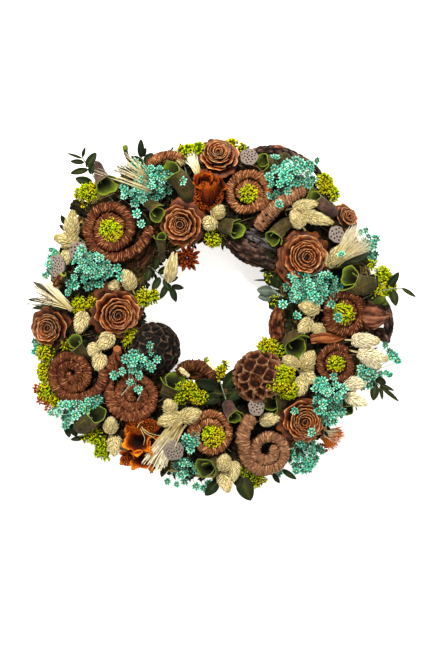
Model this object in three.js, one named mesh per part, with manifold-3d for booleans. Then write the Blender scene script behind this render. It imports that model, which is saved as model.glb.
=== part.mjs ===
// Dried flower wreath: a straw ring dressed with ribbed pod coils, cedar roses, lotus pods,
// rolled leaves, canary-grass heads, star flowers, lime moss, ruscus sprigs and orange blooms.
// Millimetres. It lies on its back: z = 0 is the flat underside of the straw, +Z faces the
// viewer, +X is right and +Y is up in the picture. Places are given in picture pixels,
// where one pixel is one millimetre.

import * as THREE from "three";
import { mergeVertices } from "three/addons/utils/BufferGeometryUtils.js";
import Module from "manifold-3d";

const wasm = await Module();
wasm.setup();
const { Manifold, Mesh } = wasm;

// driving dimensions

const MM_PER_PX = 1.0;
const ORIGIN_X_PX = 221.5;
const ORIGIN_Y_PX = 319.5;
const RING_X_PX = 211;
const RING_Y_PX = 313;
const RING_R = 120;
const RING_HALF_WIDTH = 48;
const RING_HEIGHT = 42;
const RING_STEPS = 24;
const REST_GAP = 0.38;
const WIRE = 1.05;
const WIRE_ROOM = 2.15;
const LEAF_T = 1.1;

// small helpers

const vec = (x, y, z = 0) => new THREE.Vector3(x, y, z);
const UP = vec(0, 0, 1);
const rad = THREE.MathUtils.degToRad;
const clamp = THREE.MathUtils.clamp;
const lerp = THREE.MathUtils.lerp;

function draws(seed) {
  let state = seed >>> 0;
  return () => {
    state = (state + 0x6d2b79f5) >>> 0;
    let t = Math.imul(state ^ (state >>> 15), 1 | state);
    t = (t + Math.imul(t ^ (t >>> 7), 61 | t)) ^ t;
    return ((t ^ (t >>> 14)) >>> 0) / 4294967296;
  };
}

// A closed solid from a three.js geometry, turned so that its faces look outwards.
function solid(geometry, matrix = null) {
  const bare = new THREE.BufferGeometry();
  bare.setAttribute("position", geometry.getAttribute("position").clone());
  if (geometry.index) bare.setIndex(geometry.index.clone());
  if (matrix) bare.applyMatrix4(matrix);
  const welded = mergeVertices(bare, 1e-4);
  const triVerts = new Uint32Array(welded.index.array);
  const vertProperties = new Float32Array(welded.attributes.position.array);
  const build = () => new Manifold(new Mesh({ numProp: 3, vertProperties, triVerts }));
  const made = build();
  if (made.volume() > 0) return made;
  for (let i = 0; i < triVerts.length; i += 3)
    [triVerts[i + 1], triVerts[i + 2]] = [triVerts[i + 2], triVerts[i + 1]];
  return build();
}

function fromArrays(points, index) {
  const geometry = new THREE.BufferGeometry();
  const flat = points.flatMap((p) => [p.x, p.y, p.z]);
  geometry.setAttribute("position", new THREE.Float32BufferAttribute(flat, 3));
  geometry.setIndex(index);
  return geometry;
}

function toGeometry(manifold) {
  const mesh = manifold.getMesh();
  const geometry = new THREE.BufferGeometry();
  const positions = new Float32Array(mesh.vertProperties);
  geometry.setAttribute("position", new THREE.BufferAttribute(positions, 3));
  geometry.setIndex(new THREE.BufferAttribute(new Uint32Array(mesh.triVerts), 1));
  const loose = geometry.toNonIndexed();
  loose.computeVertexNormals();
  return loose;
}

const join = (list) => (list.length === 1 ? list[0] : Manifold.union(list));


// places in the picture

// The solid point over a picture pixel at a height over the table.
const at = (xPx, yPx, z) => vec((xPx - ORIGIN_X_PX) * MM_PER_PX, (ORIGIN_Y_PX - yPx) * MM_PER_PX, z);

const ringCentre = at(RING_X_PX, RING_Y_PX, 0);

// How far a point lies outside (or inside) the middle line of the straw, and which way.
function acrossRing(point) {
  const flat = vec(point.x - ringCentre.x, point.y - ringCentre.y);
  return { out: flat.length() - RING_R, radial: flat.normalize() };
}

// A local frame over a pixel: x to the right, y up the picture, z along the facing direction.
// Without a tilt of its own the frame leans outwards with the swell of the wreath.
function facing(xPx, yPx, z, tilt = null) {
  const point = at(xPx, yPx, z);
  const { out, radial } = acrossRing(point);
  const lean = radial.multiplyScalar(out / 95);
  const face = (tilt ? vec(tilt[0], tilt[1], 1) : lean.setZ(1)).normalize();
  const right = vec(1, 0, 0).addScaledVector(face, -face.x).normalize();
  return new THREE.Matrix4().makeBasis(right, face.clone().cross(right), face).setPosition(point);
}

// building blocks

// A rod along a path: a ring of corners round each point and a fan over both ends.
function rod(path, radii, sides, up = UP, flat = 1) {
  const points = [];
  const index = [];
  path.forEach((p, i) => {
    const before = path[Math.max(i - 1, 0)];
    const after = path[Math.min(i + 1, path.length - 1)];
    const along = after.clone().sub(before).normalize();
    const side = along.clone().cross(up).normalize();
    const over = side.clone().cross(along).normalize();
    for (let k = 0; k < sides; k += 1) {
      const turn = (2 * Math.PI * (k + 0.5)) / sides;
      points.push(
        p.clone().addScaledVector(side, radii[i] * Math.cos(turn)).addScaledVector(over, radii[i] * flat * Math.sin(turn)),
      );
    }
  });
  const first = points.length;
  points.push(path[0].clone(), path[path.length - 1].clone());
  for (let i = 0; i + 1 < path.length; i += 1)
    for (let k = 0; k < sides; k += 1) {
      const a = i * sides + k;
      const b = i * sides + ((k + 1) % sides);
      index.push(a, b, a + sides, b, b + sides, a + sides);
    }
  const last = (path.length - 1) * sides;
  for (let k = 0; k < sides; k += 1) {
    const next = (k + 1) % sides;
    index.push(first, next, k);
    index.push(first + 1, last + k, last + next);
  }
  return solid(fromArrays(points, index));
}

// A thin body between two grids of points, with walls round its edge.
function slab(top, bottom) {
  const rows = top.length;
  const cols = top[0].length;
  const points = [...top.flat(), ...bottom.flat()];
  const shift = rows * cols;
  const index = [];
  for (let i = 0; i + 1 < rows; i += 1)
    for (let k = 0; k + 1 < cols; k += 1) {
      const a = i * cols + k;
      const b = a + 1;
      const c = a + cols;
      const d = c + 1;
      index.push(a, c, b, b, c, d);
      index.push(shift + a, shift + b, shift + c, shift + b, shift + d, shift + c);
    }
  const edge = [];
  for (let k = 0; k < cols; k += 1) edge.push(k);
  for (let i = 1; i < rows; i += 1) edge.push(i * cols + cols - 1);
  for (let k = cols - 2; k >= 0; k -= 1) edge.push((rows - 1) * cols + k);
  for (let i = rows - 2; i > 0; i -= 1) edge.push(i * cols);
  edge.forEach((a, i) => {
    const b = edge[(i + 1) % edge.length];
    index.push(a, b, shift + a, b, shift + b, shift + a);
  });
  return solid(fromArrays(points, index));
}

// A flat blade from its outline: triangles alike on both faces and a wall between them.
function blade(outline, faces, offset) {
  const count = outline.length;
  const points = [...outline, ...outline.map((p) => p.clone().add(offset))];
  const index = [];
  for (const [a, b, c] of faces) index.push(a, b, c, count + a, count + c, count + b);
  for (let i = 0; i < count; i += 1) {
    const next = (i + 1) % count;
    index.push(i, count + i, next, next, count + i, count + next);
  }
  return solid(fromArrays(points, index));
}

// A straight bar of square section between two points.
function bar(a, b, width) {
  const length = a.distanceTo(b);
  const box = new THREE.BoxGeometry(width, width, length);
  const turn = new THREE.Quaternion().setFromUnitVectors(UP, b.clone().sub(a).normalize());
  const middle = a.clone().add(b).multiplyScalar(0.5);
  return solid(box, new THREE.Matrix4().compose(middle, turn, vec(1, 1, 1)));
}

// A body turned about its own z: rings of a radius and a height, with a wavy rim.
function turned(profile, sides, wave = 0, waves = 5, matrix = null) {
  const points = [];
  const index = [];
  const starts = [];
  profile.forEach(([r, z, phase = 0], i) => {
    starts.push(points.length);
    if (r === 0) {
      points.push(vec(0, 0, z));
      return;
    }
    for (let k = 0; k < sides; k += 1) {
      const turn = (2 * Math.PI * (k + 0.5 * (i % 2))) / sides;
      const reach = r * (1 + wave * Math.cos(waves * turn + phase));
      points.push(vec(reach * Math.cos(turn), reach * Math.sin(turn), z));
    }
  });
  for (let i = 0; i + 1 < profile.length; i += 1) {
    const lowPole = profile[i][0] === 0;
    const highPole = profile[i + 1][0] === 0;
    for (let k = 0; k < sides; k += 1) {
      const next = (k + 1) % sides;
      const a = starts[i] + (lowPole ? 0 : k);
      const b = starts[i] + (lowPole ? 0 : next);
      const c = starts[i + 1] + (highPole ? 0 : k);
      const d = starts[i + 1] + (highPole ? 0 : next);
      if (lowPole) index.push(a, d, c);
      else if (highPole) index.push(a, b, c);
      else if (i % 2 === 0) index.push(a, b, c, b, d, c);
      else index.push(a, b, d, a, d, c);
    }
  }
  return solid(fromArrays(points, index), matrix);
}

// Triangles between two loops of corners that run the same way round.
function stitch(index, from, to) {
  let i = 0;
  let j = 0;
  while (i < from.length || j < to.length) {
    const a = from[i % from.length];
    const b = to[j % to.length];
    if (j >= to.length || (i < from.length && (i + 1) / from.length <= (j + 1) / to.length)) {
      index.push(a, from[(i + 1) % from.length], b);
      i += 1;
    } else {
      index.push(a, to[(j + 1) % to.length], b);
      j += 1;
    }
  }
}

// A limb grows from a loop through rings of points and closes over the last ring or in a point.
function limb(points, index, root, rings, cap = null) {
  let from = root;
  for (const ring of rings) {
    const n = ring.length;
    const far = (k) =>
      from.reduce((sum, p, i) => sum + points[p].distanceTo(ring[(k + Math.round((i * n) / from.length)) % n]), 0);
    const turns = ring.map((_, k) => far(k));
    const best = turns.indexOf(Math.min(...turns));
    const first = points.length;
    for (let i = 0; i < n; i += 1) points.push(ring[(best + i) % n]);
    const to = ring.map((_, i) => first + i);
    stitch(index, from, to);
    from = to;
  }
  if (cap) points.push(cap);
  const end = points.length - 1;
  if (cap) from.forEach((p, i) => index.push(end, p, from[(i + 1) % from.length]));
  else for (let i = 1; i + 1 < from.length; i += 1) index.push(from[0], from[i], from[i + 1]);
}

// A round ring of corners about a direction, with a reach for each corner.
function round(centre, along, n, reach, start = 0) {
  const side = along.clone().cross(Math.abs(along.z) > 0.95 ? vec(0, 1, 0) : UP).normalize();
  const over = along.clone().cross(side);
  return Array.from({ length: n }, (_, k) => {
    const turn = start + (2 * Math.PI * k) / n;
    const r = typeof reach === "function" ? reach(k) : reach;
    return centre.clone().addScaledVector(side, r * Math.cos(turn)).addScaledVector(over, r * Math.sin(turn));
  });
}

// The flat three-cornered ring of a blade: right edge, left edge and keel.
function keeled(centre, along, up, half, thick) {
  const side = along.clone().cross(up).normalize();
  const over = side.clone().cross(along).normalize();
  return [
    centre.clone().addScaledVector(side, half),
    centre.clone().addScaledVector(side, -half),
    centre.clone().addScaledVector(over, thick),
  ];
}

// A limb that is a body of its own, closed over its first ring.
function sprout(rings, cap = null) {
  const points = [...rings[0]];
  const loop = rings[0].map((_, i) => i);
  const index = [];
  for (let i = 1; i + 1 < loop.length; i += 1) index.push(0, i + 1, i);
  limb(points, index, loop, rings.slice(1), cap);
  return solid(fromArrays(points, index));
}

// A small six-sided knot that stems grow from.
function knotted(foot, r) {
  return turned([[0, -0.8 * r], [r, 0], [0, 0.8 * r]], 6, 0, 1, new THREE.Matrix4().setPosition(foot));
}

// A knot with limbs that start in its middle.
function sheaf(foot, r, limbs) {
  const knot = knotted(foot, r);
  const base = (l) => round(foot, l.aim.clone().sub(foot).normalize(), 3, 0.6);
  return join([knot, ...limbs.map((l) => sprout([base(l), ...l.rings], l.cap))]);
}

// The direction halfway round a bend at a point, coming from one place and going on in a direction.
function bend(from, point, onward) {
  return point.clone().sub(from).normalize().add(onward).normalize();
}

// the straw ring with its lime moss

const SECTION = [
  // across the ring as a share of the half width, height as a share of the full height
  [0.8, 0], [1, 0.36], [0.86, 0.78], [0.4, 1], [-0.4, 1], [-0.86, 0.78], [-1, 0.36], [-0.8, 0],
];

function straw() {
  const points = [];
  const index = [];
  const corners = SECTION.length;
  for (let i = 0; i < RING_STEPS; i += 1) {
    const around = (2 * Math.PI * i) / RING_STEPS;
    for (const [u, v] of SECTION) {
      const reach = RING_R + u * RING_HALF_WIDTH;
      points.push(ringCentre.clone().add(vec(reach * Math.cos(around), reach * Math.sin(around), v * RING_HEIGHT)));
    }
    for (let k = 0; k < corners; k += 1) {
      const a = i * corners + k;
      const b = i * corners + ((k + 1) % corners);
      const c = ((i + 1) % RING_STEPS) * corners + k;
      const d = ((i + 1) % RING_STEPS) * corners + ((k + 1) % corners);
      index.push(a, c, b, b, c, d);
    }
  }
  return solid(fromArrays(points, index));
}

// A lumpy tuft of branched lichen: rings of lobes drawn in and out, narrowing to its crown.
function tuft(frame, rx, ry, rz, seed) {
  const draw = draws(seed);
  const points = [vec(0, 0, -rz)];
  for (const [reach, rise] of [[0.95, -0.25], [0.8, 0.55]])
    for (let k = 0; k < 8; k += 1) {
      const turn = (Math.PI * (k + reach)) / 4;
      const swell = reach * (k % 2 ? lerp(0.68, 0.84, draw()) : lerp(1, 1.18, draw()));
      points.push(vec(rx * swell * Math.cos(turn), ry * swell * Math.sin(turn), rz * (rise + 0.2 * draw())));
    }
  points.push(vec(0, 0, 0.8 * rz));
  const index = [];
  for (let k = 0; k < 8; k += 1) {
    const next = (k + 1) % 8;
    index.push(0, 1 + next, 1 + k);
    index.push(1 + k, 1 + next, 9 + k, 1 + next, 9 + next, 9 + k);
    index.push(17, 9 + k, 9 + next);
  }
  return solid(fromArrays(points, index), frame);
}

const MOSS = [
  // centre, half widths, half height, height of its middle
  [88, 196, 11, 12, 11, 36],
  [141, 298, 9, 10, 11, 37],
  [85, 303, 11, 10, 11, 38],
  [197, 150, 12, 7, 9, 32],
  [235, 147, 12, 7, 9, 30],
  [213, 238, 9, 9.5, 11, 36],
  [327, 188, 11, 13, 11, 35],
  [376, 284, 17, 14, 10, 30],
  [274, 352, 10, 8.5, 10, 34],
  [284, 386, 12, 12, 9, 38],
  [253, 476, 12.5, 12, 11, 26],
  [191, 395, 12, 10, 11, 38],
  [101, 441, 12, 14, 11, 30],
  [49, 371, 14, 26, 10, 24],
  [131, 341, 10, 9, 10, 37],
];

const ring = join([straw(), ...MOSS.map(([x, y, rx, ry, rz, z], i) => tuft(facing(x, y, z), rx, ry, rz, 60 + i))]);
const ringBox = ring.boundingBox();
const ground = solid(new THREE.BoxGeometry(700, 700, 40), new THREE.Matrix4().makeTranslation(0, 0, -19.6));
const groundBox = ground.boundingBox();

// Pieces go on from the lowest to the front-most. Each one is lowered until it would meet the
// ring, the table or an earlier piece, and stops a little above it, so that nothing crosses
// and every piece rests on what carries it.

const pieces = [];

function boxesMeet(a, b) {
  return [0, 1, 2].every((k) => a.min[k] < b.max[k] && b.min[k] < a.max[k]);
}

function meets(body, others) {
  const box = body.boundingBox();
  return others.some((o) => boxesMeet(o.box, box) && !body.intersect(o.body).isEmpty());
}

function lower(node, name, body, anchors = [], deepest = -24) {
  const others = [{ body: ring, box: ringBox }, { body: ground, box: groundBox }];
  for (const p of pieces) if (p.node !== node) others.push(p);
  const free = (drop) => !meets(body.translate([0, 0, drop]), others);
  let high = 40;
  while (high > deepest && free(high - 4)) high -= 4;
  let low = high - 4;
  for (let i = 0; i < 5; i += 1) {
    const middle = (high + low) / 2;
    if (free(middle)) high = middle;
    else low = middle;
  }
  const lift = high + REST_GAP;
  const seated = body.translate([0, 0, lift]);
  pieces.push({ node, name, body: seated, box: seated.boundingBox(), lift, anchors });
}

// ruscus sprigs: thin stems with pointed leaves, each a folded blade

const SPRIGS = [
  // node, height, path of the stem in pixels, then leaves as base, tip and half width
  ["ruscus_top_left", 40, [[113, 201], [98, 184], [82, 157]], [
    [82, 158, 67, 154, 3.4], [82, 157, 84, 147, 3], [86, 163, 70, 163, 3.2], [87, 165, 96, 153, 4.2],
    [88, 170, 71, 172, 3.6], [91, 175, 96, 165, 3], [93, 179, 75, 185, 5.4],
  ]],
  ["ruscus_top_left", 40, [[154, 186], [149, 168], [146, 155]], [
    [148, 160, 138, 150, 3.6], [147, 158, 148, 146, 3.4], [150, 166, 154, 154, 4],
  ]],
  ["ruscus_top_left", 40, [[88, 244], [76, 236], [64, 226]], [[66, 228, 58, 216, 3], [68, 230, 57, 228, 3.2]]],
  ["ruscus_inner", 40, [[140, 262], [157, 274], [172, 286]], [
    [158, 274, 168, 270, 3.4], [160, 277, 153, 288, 3.6], [166, 281, 178, 279, 3.8], [168, 283, 163, 296, 3.8],
    [171, 286, 185, 289, 3.6], [171, 286, 174, 302, 4.2],
  ]],
  ["ruscus_right", 36, [[352, 304], [376, 295], [396, 287]], [
    [392, 288, 398, 274, 4], [386, 290, 384, 277, 3.6], [388, 290, 394, 305, 4], [395, 287, 416, 294, 4.4],
    [374, 296, 372, 308, 4.4],
  ]],
  ["ruscus_right", 32, [[358, 366], [373, 379], [386, 390]], [
    [376, 383, 386, 378, 3.6], [374, 382, 374, 398, 4], [382, 387, 382, 401, 3.4], [384, 388, 398, 386, 3.2],
    [385, 389, 400, 400, 4],
  ]],
  ["ruscus_bottom", 32, [[252, 458], [247, 474], [242, 487]], [
    [250, 468, 268, 479, 4], [247, 474, 232, 482, 4.2], [244, 484, 252, 500, 4.8], [243, 485, 232, 499, 3.8],
  ]],
  ["ruscus_bottom", 32, [[270, 456], [277, 466], [284, 476]], [[279, 470, 271, 484, 3.6], [283, 474, 297, 478, 4.2]]],
  ["ruscus_low_left", 36, [[100, 414], [86, 424], [72, 434]], [
    [80, 429, 66, 425, 3.8], [84, 426, 74, 419, 3.4], [76, 431, 68, 442, 3.4],
  ]],
  ["ruscus_inner_low", 46, [[219, 383], [223, 390], [228, 398]], [
    [220, 385, 195, 382, 5.8], [222, 389, 198, 400, 5.8], [221, 386, 239, 369, 6.6], [226, 394, 244, 390, 6],
  ]],
  ["ruscus_inner_right", 44, [[292, 326], [282, 306], [271, 278]], [
    [273, 285, 258, 290, 4], [271, 280, 264, 271, 4], [273, 284, 284, 273, 4.4], [275, 291, 259, 299, 4.6],
    [280, 302, 291, 300, 4.6], [283, 309, 293, 317, 3.6], [288, 318, 279, 328, 3.4],
  ]],
];

for (const [node, z, way, leaves] of SPRIGS) {
  const [start, middle, end] = way.map(([x, y]) => at(x, y, z));
  const halves = [[start, middle], [middle, end]];
  const spine = halves.flatMap(([p, q]) => Array.from({ length: 15 }, (_, i) => p.clone().lerp(q, (i + 1) / 15)));
  const parts = [rod([start, middle, end], [1.1, 1.1, 0.9], 3)];
  for (const [x0, y0, x1, y1, wide] of leaves) {
    const wanted = at(x0, y0, z);
    const base = spine.reduce((best, p) => (p.distanceTo(wanted) < best.distanceTo(wanted) ? p : best)).clone();
    const tip = at(x1, y1, z + 1.2);
    const along = tip.clone().sub(base).normalize();
    const spot = (t, up) => base.clone().lerp(tip, t).add(vec(0, 0, up));
    const stages = wide < 5 ? [[0, 0.12], [0.45, 1.15]] : [[0, 0.12], [0.32, 1], [0.72, 0.78]];
    parts.push(sprout(stages.map(([t, w]) => keeled(spot(t, -0.5), along, UP, w * wide, 1.3)), tip));
  }
  lower(node, `${node} sprig`, join(parts), [spine[10], spine[5], spine[15], spine[20]]);
}

// fans of grass bristles, a frayed wheat bundle and a brush

function fan(foot, tips, r) {
  const limbs = tips.map((tip) => {
    const along = tip.clone().sub(foot).normalize();
    const spot = (t, up) => foot.clone().lerp(tip, t).add(vec(0, 0, up));
    return { aim: tip, rings: [round(spot(0.25, 1), along, 3, 0.8 * r), round(spot(0.6, 2), along, 3, r)], cap: tip };
  });
  return sheaf(foot, 3, limbs);
}

const EARLY_FANS = [
  // node, foot pixel and height, bristle half width, tips as pixel and height
  ["grass_fan_top", 146, 184, 46, 1.5,
    [[100, 175, 40], [114, 170, 42], [128, 162, 42], [107, 182, 43], [122, 179, 48], [137, 167, 46]]],
  ["grass_heads_left", 72, 309, 45, 1.6,
    [[30, 283, 28], [33, 291, 29], [31, 298, 27], [42, 279, 34], [52, 281, 40], [46, 288, 40], [28, 305, 26]]],
];

const LATE_FANS = [
  ["grass_fan_right", 332, 262, 48, 1.5,
    [[355, 224, 46], [348, 231, 50], [361, 228, 44], [366, 236, 42], [370, 245, 40], [352, 243, 50], [340, 240, 54]]],
  ["grass_heads_bottom_left", 171, 431, 50, 1.7,
    [[147, 441, 50], [149, 450, 50], [153, 460, 48], [158, 469, 42]]],
  ["orange_low_right", 326, 434, 42, 1.6,
    [[344, 427, 36], [344, 436, 34], [340, 444, 32], [332, 451, 30], [337, 433, 42]]],
];

function putFan(node, x, y, z, r, tips) {
  lower(node, `${node} fan`, fan(at(x, y, z), tips.map((t) => at(...t)), r), [at(x, y, z)]);
}

for (const row of EARLY_FANS) putFan(...row);

// ribbed coils: a rope of ridges wound in a flat spiral, with an outer arm on some

const COILS = [
  // node, centre, first angle and radius, turns, last radius, way, thickness, arm as angle and radius
  ["coil_top_left", 108, 229, -80, 24.5, 1.15, 8.6, -1, 6, [[6, 40], [-16, 38.5], [-45, 33]]],
  ["coil_top", 249, 193, -60, 20.3, 1.03, 8, 1, 5.5, []],
  ["coil_right", 343, 312, 150, 20, 1.02, 8, 1, 5.5, []],
  ["coil_right_low", 335, 363, 40, 18.2, 0.98, 7.2, 1, 5, []],
  ["coil_bottom", 267, 450, 168, 25.5, 1.65, 4.4, 1, 5.8, [[112, 40], [128, 34], [148, 29]]],
  ["coil_bottom_left", 210, 432, 200, 18.8, 1.04, 7.4, -1, 5.2, []],
  ["coil_left", 71, 375, -85, 22.5, 1.35, 4.2, -1, 6, [[-22, 32], [-50, 26.5]]],
  ["coil_low_left", 134, 395, 178, 25, 1.6, 4.4, 1, 5.9, [[112, 43], [126, 37.5], [148, 30.5]]],
];

for (const [node, x, y, a0, r0, turns, r1, way, thick, arm] of COILS) {
  const frame = facing(x, y, 52);
  const knots = arm.map(([a, r]) => [rad(a), r]);
  const count = Math.ceil(turns * 8);
  for (let i = 0; i <= count; i += 1)
    knots.push([rad(a0) + way * 2 * Math.PI * turns * (i / count), lerp(r0, r1, i / count)]);
  const curve = new THREE.CatmullRomCurve3(knots.map(([a, r]) => vec(r * Math.cos(a), r * Math.sin(a))));
  const path = curve.getSpacedPoints(Math.round(curve.getLength() / 8)).map((p) => p.applyMatrix4(frame));
  const ends = path.length - 1;
  const radii = path.map((_, i) => (i === 0 || i === ends ? 0.72 : i % 2 ? 1 : 0.86) * thick);
  lower(node, node, rod(path, radii, 5, vec(0, 0, 1).transformDirection(frame)));
}

// Loose curls of the same ribbed rind, on paths of pixels and heights.
const CURLS = [
  ["curl_top", 7.2, [[304, 189, 48], [291, 197, 54], [278, 206, 56], [267, 217, 54], [259, 229, 48]]],
  ["curl_inner_low", 6, [[181, 374, 44], [186, 367, 44], [196, 365, 45], [206, 368, 44], [213, 376, 44]]],
  ["bark_top", 4.4, [[150, 166, 44], [160, 158, 44], [171, 155, 44], [183, 160, 44]]],
];

for (const [node, thick, way] of CURLS) {
  const curve = new THREE.CatmullRomCurve3(way.map((p) => at(...p)));
  const path = curve.getSpacedPoints(Math.round(curve.getLength() / 7));
  const ends = path.length - 1;
  const radii = path.map((_, i) => (i === 0 || i === ends ? 0.75 : i % 2 ? 1 : 0.86) * thick);
  lower(node, `${node} curl`, rod(path, radii, 5));
}

// large lotus pods: domes with a raised net of rims round deep cells

const DOMES = [
  // node, centre, radius, height, tilt
  ["lotus_large_low", 258, 375, 23, 18, [-0.25, 0.4]],
  ["lotus_large_left", 154, 350, 23, 18, [0.42, 0.3]],
];

for (const [node, x, y, r, high, tilt] of DOMES) {
  const frame = facing(x, y, 44, tilt);
  const rings = [[0, -3], [0.6 * r, -3], [r, 3], [0.94 * r, 9], [0.62 * r, 0.88 * high], [0, high]];
  const dome = turned(rings, 9, 0, 1, frame);
  const cells = [];
  for (let i = 0; i < 9; i += 1) {
    const turn = i * 2.39996;
    const out = 0.86 * Math.sqrt((i + 0.3) / 9);
    const spot = vec(out * r * Math.cos(turn), out * r * Math.sin(turn), high * Math.sqrt(1 - out * out) + 0.6);
    const inwards = vec(-0.55 * spot.x, -0.55 * spot.y, -14).normalize();
    const turnTo = new THREE.Quaternion().setFromUnitVectors(vec(0, 1, 0), inwards);
    const place = new THREE.Matrix4().compose(spot.addScaledVector(inwards, 1.6), turnTo, vec(1, 1, 1));
    cells.push(solid(new THREE.ConeGeometry(0.25 * r, 9, 5), frame.clone().multiply(place)));
  }
  lower(node, node, dome.subtract(join(cells)));
}

// rough bark: flattened strips with cross ridges, and a ridged pod with a chunk of wood

const BARK = [
  // node, half width, flatness, path as pixel and height
  ["bark_inner", 11, 0.55, [[234, 243, 40], [243, 250, 42], [254, 256, 43], [266, 261, 42], [275, 264, 40]]],
  ["bark_top", 5.2, 0.8, [[246, 151, 40], [262, 148, 40], [280, 149, 40], [298, 155, 40], [313, 165, 40]]],
];

for (const [node, wide, flat, way] of BARK) {
  const curve = new THREE.CatmullRomCurve3(way.map((p) => at(...p)));
  const path = curve.getSpacedPoints(6);
  const radii = path.map((_, i) => wide * (i === 0 || i === 6 ? 0.6 : i % 2 ? 1 : 0.86));
  lower(node, `${node} bark`, rod(path, radii, 6, UP, flat));
}

{
  const ends = [at(375, 331, 50), at(375, 301, 50)];
  const path = [0, 0.12, 0.5, 0.88, 1].map((t) => ends[0].clone().lerp(ends[1], t));
  const pod = rod(path, [3.6, 8, 10.4, 8, 3.4], 8, UP, 0.95);
  const edge = [[383, 303], [386, 314], [387, 326], [384, 341]].map(([x, y]) => at(x, y, 44));
  lower("brown_right", "ridged pod and bark", join([pod, rod(edge, [3.4, 6.2, 5.2, 3.4], 6, UP, 0.8)]));
  const chunk = [at(312, 339, 50), at(322, 338, 51), at(334, 338, 50)];
  lower("brown_right", "wood chunk", rod(chunk, [5.6, 6.4, 4.6], 5, UP, 0.9));
  const strip = [[281, 307], [278, 317], [277, 327], [278, 337], [283, 346]].map(([x, y]) => at(x, y, 48));
  lower("brown_right", "inner strip", rod(strip, [4, 7.6, 6.8, 7.6, 4], 6, UP, 0.55));
}

// cedar roses: open cones of woody scales, a whorl of blades round rings of closed scales

const ROSES = [
  // node, centre, radius, tilt of the face to the right and up
  ["rose_top", 220, 158, 20, [0.1, 0.45]],
  ["rose_upper_left", 181, 224, 22.5, [-0.05, -0.1]],
  ["rose_upper_right", 303, 258, 25, [0.2, 0.05]],
  ["rose_right_edge", 343, 220, 15, [0.7, 0.45]],
  ["rose_left", 116, 313, 24, [0.2, -0.15]],
  ["rose_left_edge", 52, 327, 19.5, [-0.35, -0.1]],
  ["rose_low_right", 302, 419, 23, [0.15, -0.2]],
];

// The spiky calyx under the upper left rose.
const CALYX_R = 12.6;

ROSES.forEach(([node, x, y, r, tilt], which) => {
  const frame = facing(x, y, 44, tilt);
  const rings = [
    [0.3 * r, 0, 0], [0.64 * r, 14, 0], [0.52 * r, 17, 1], [0.44 * r, 14.5, 1], [0.3 * r, 19, 2.4],
  ];
  const points = [vec(0, 0, 0)];
  const index = [];
  const loops = rings.map(([reach, z, phase]) => {
    const first = points.length;
    for (let k = 0; k < 10; k += 1) {
      const turn = (2 * Math.PI * (k + 0.4 * which)) / 10;
      const out = reach * (1 + 0.05 * Math.cos(5 * turn + phase));
      points.push(vec(out * Math.cos(turn), out * Math.sin(turn), z));
    }
    return Array.from({ length: 10 }, (_, k) => first + k);
  });
  const petals = [];
  for (let k = 0; k < 10; k += 1) {
    const [low, high] = loops;
    const next = (k + 1) % 10;
    index.push(0, low[next], low[k]);
    index.push(low[k], low[next], high[k]);
    if (k % 2 === 0) petals.push([low[next], high[next], high[k]]);
    else index.push(low[next], high[next], high[k]);
  }
  for (let i = 1; i + 1 < loops.length; i += 1) stitch(index, loops[i], loops[i + 1]);
  points.push(vec(0, 0, 17.5));
  const crown = points.length - 1;
  loops.at(-1).forEach((p, k) => index.push(crown, p, loops.at(-1)[(k + 1) % 10]));
  petals.forEach((root, i) => {
    const middle = points[root[1]].clone().add(points[root[2]]).multiplyScalar(0.5);
    const out = vec(middle.x, middle.y).normalize();
    const low = i % 2 ? 0 : -1.4;
    const stages = [[0.72, 0.36, 8.6], [0.88, 0.5, 9.8], [1, 0.3, 9.6]];
    const flat = stages.map(([reach, half, z]) => {
      const centre = out.clone().multiplyScalar(reach * r).setZ(z + low);
      return keeled(centre, out, UP, half * r, 1.8);
    });
    limb(points, index, root, flat);
  });
  const parts = [solid(fromArrays(points, index), frame)];
  if (node === "rose_upper_left") {
    const calyx = [[0, -1], [3, -1], [0.9 * CALYX_R, 4], [CALYX_R, 9], [0.86 * CALYX_R, 9], [0.5 * CALYX_R, 4], [0, 2.5]];
    parts.push(turned(calyx, 10, 0.13, 5, facing(187, 256, 43, [-0.1, 0.1])));
  }
  lower(node, node, join(parts));
});

// small lotus pods: grey cones with a flat face of seed pits

const SMALL_LOTUS = [
  // node, face centre, radius, tilt, length
  ["lotus_small_top", 249, 157, 8.4, [0.05, 0.35], 16],
  ["lotus_small_top", 335, 236, 8.2, [0.5, 0.2], 18],
  ["lotus_small_left", 57, 266, 9.4, [-0.8, 0.05], 19],
  ["lotus_small_left", 79, 253, 7.2, [-0.1, 0.2], 16],
  ["lotus_small_bottom", 175, 451, 9, [0, -0.2], 12],
  ["lotus_small_bottom", 256, 406, 7.8, [0, 0.05], 17],
];

for (const [node, x, y, r, tilt, long] of SMALL_LOTUS) {
  const frame = facing(x, y, 66, tilt);
  const rings = [[0, -long], [2.6, -long], [0.5 * r, -0.6 * long], [r, -2.6], [0.9 * r, 0], [0, 0.3]];
  const cone = turned(rings, 8, 0, 1, frame);
  const pits = [];
  for (let i = 0; i < 6; i += 1) {
    const out = i === 0 ? 0 : 0.52 * r;
    const spot = vec(out * Math.cos(i * 1.257), out * Math.sin(i * 1.257), -0.9);
    const pit = new THREE.ConeGeometry(1.7, 3.4, 3).rotateX(-Math.PI / 2);
    pits.push(solid(pit, frame.clone().multiply(new THREE.Matrix4().setPosition(spot))));
  }
  lower(node, `${node} pod`, cone.subtract(join(pits)));
}

// rolled leaves: a sheet curled round a line from its tail to its open mouth

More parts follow.
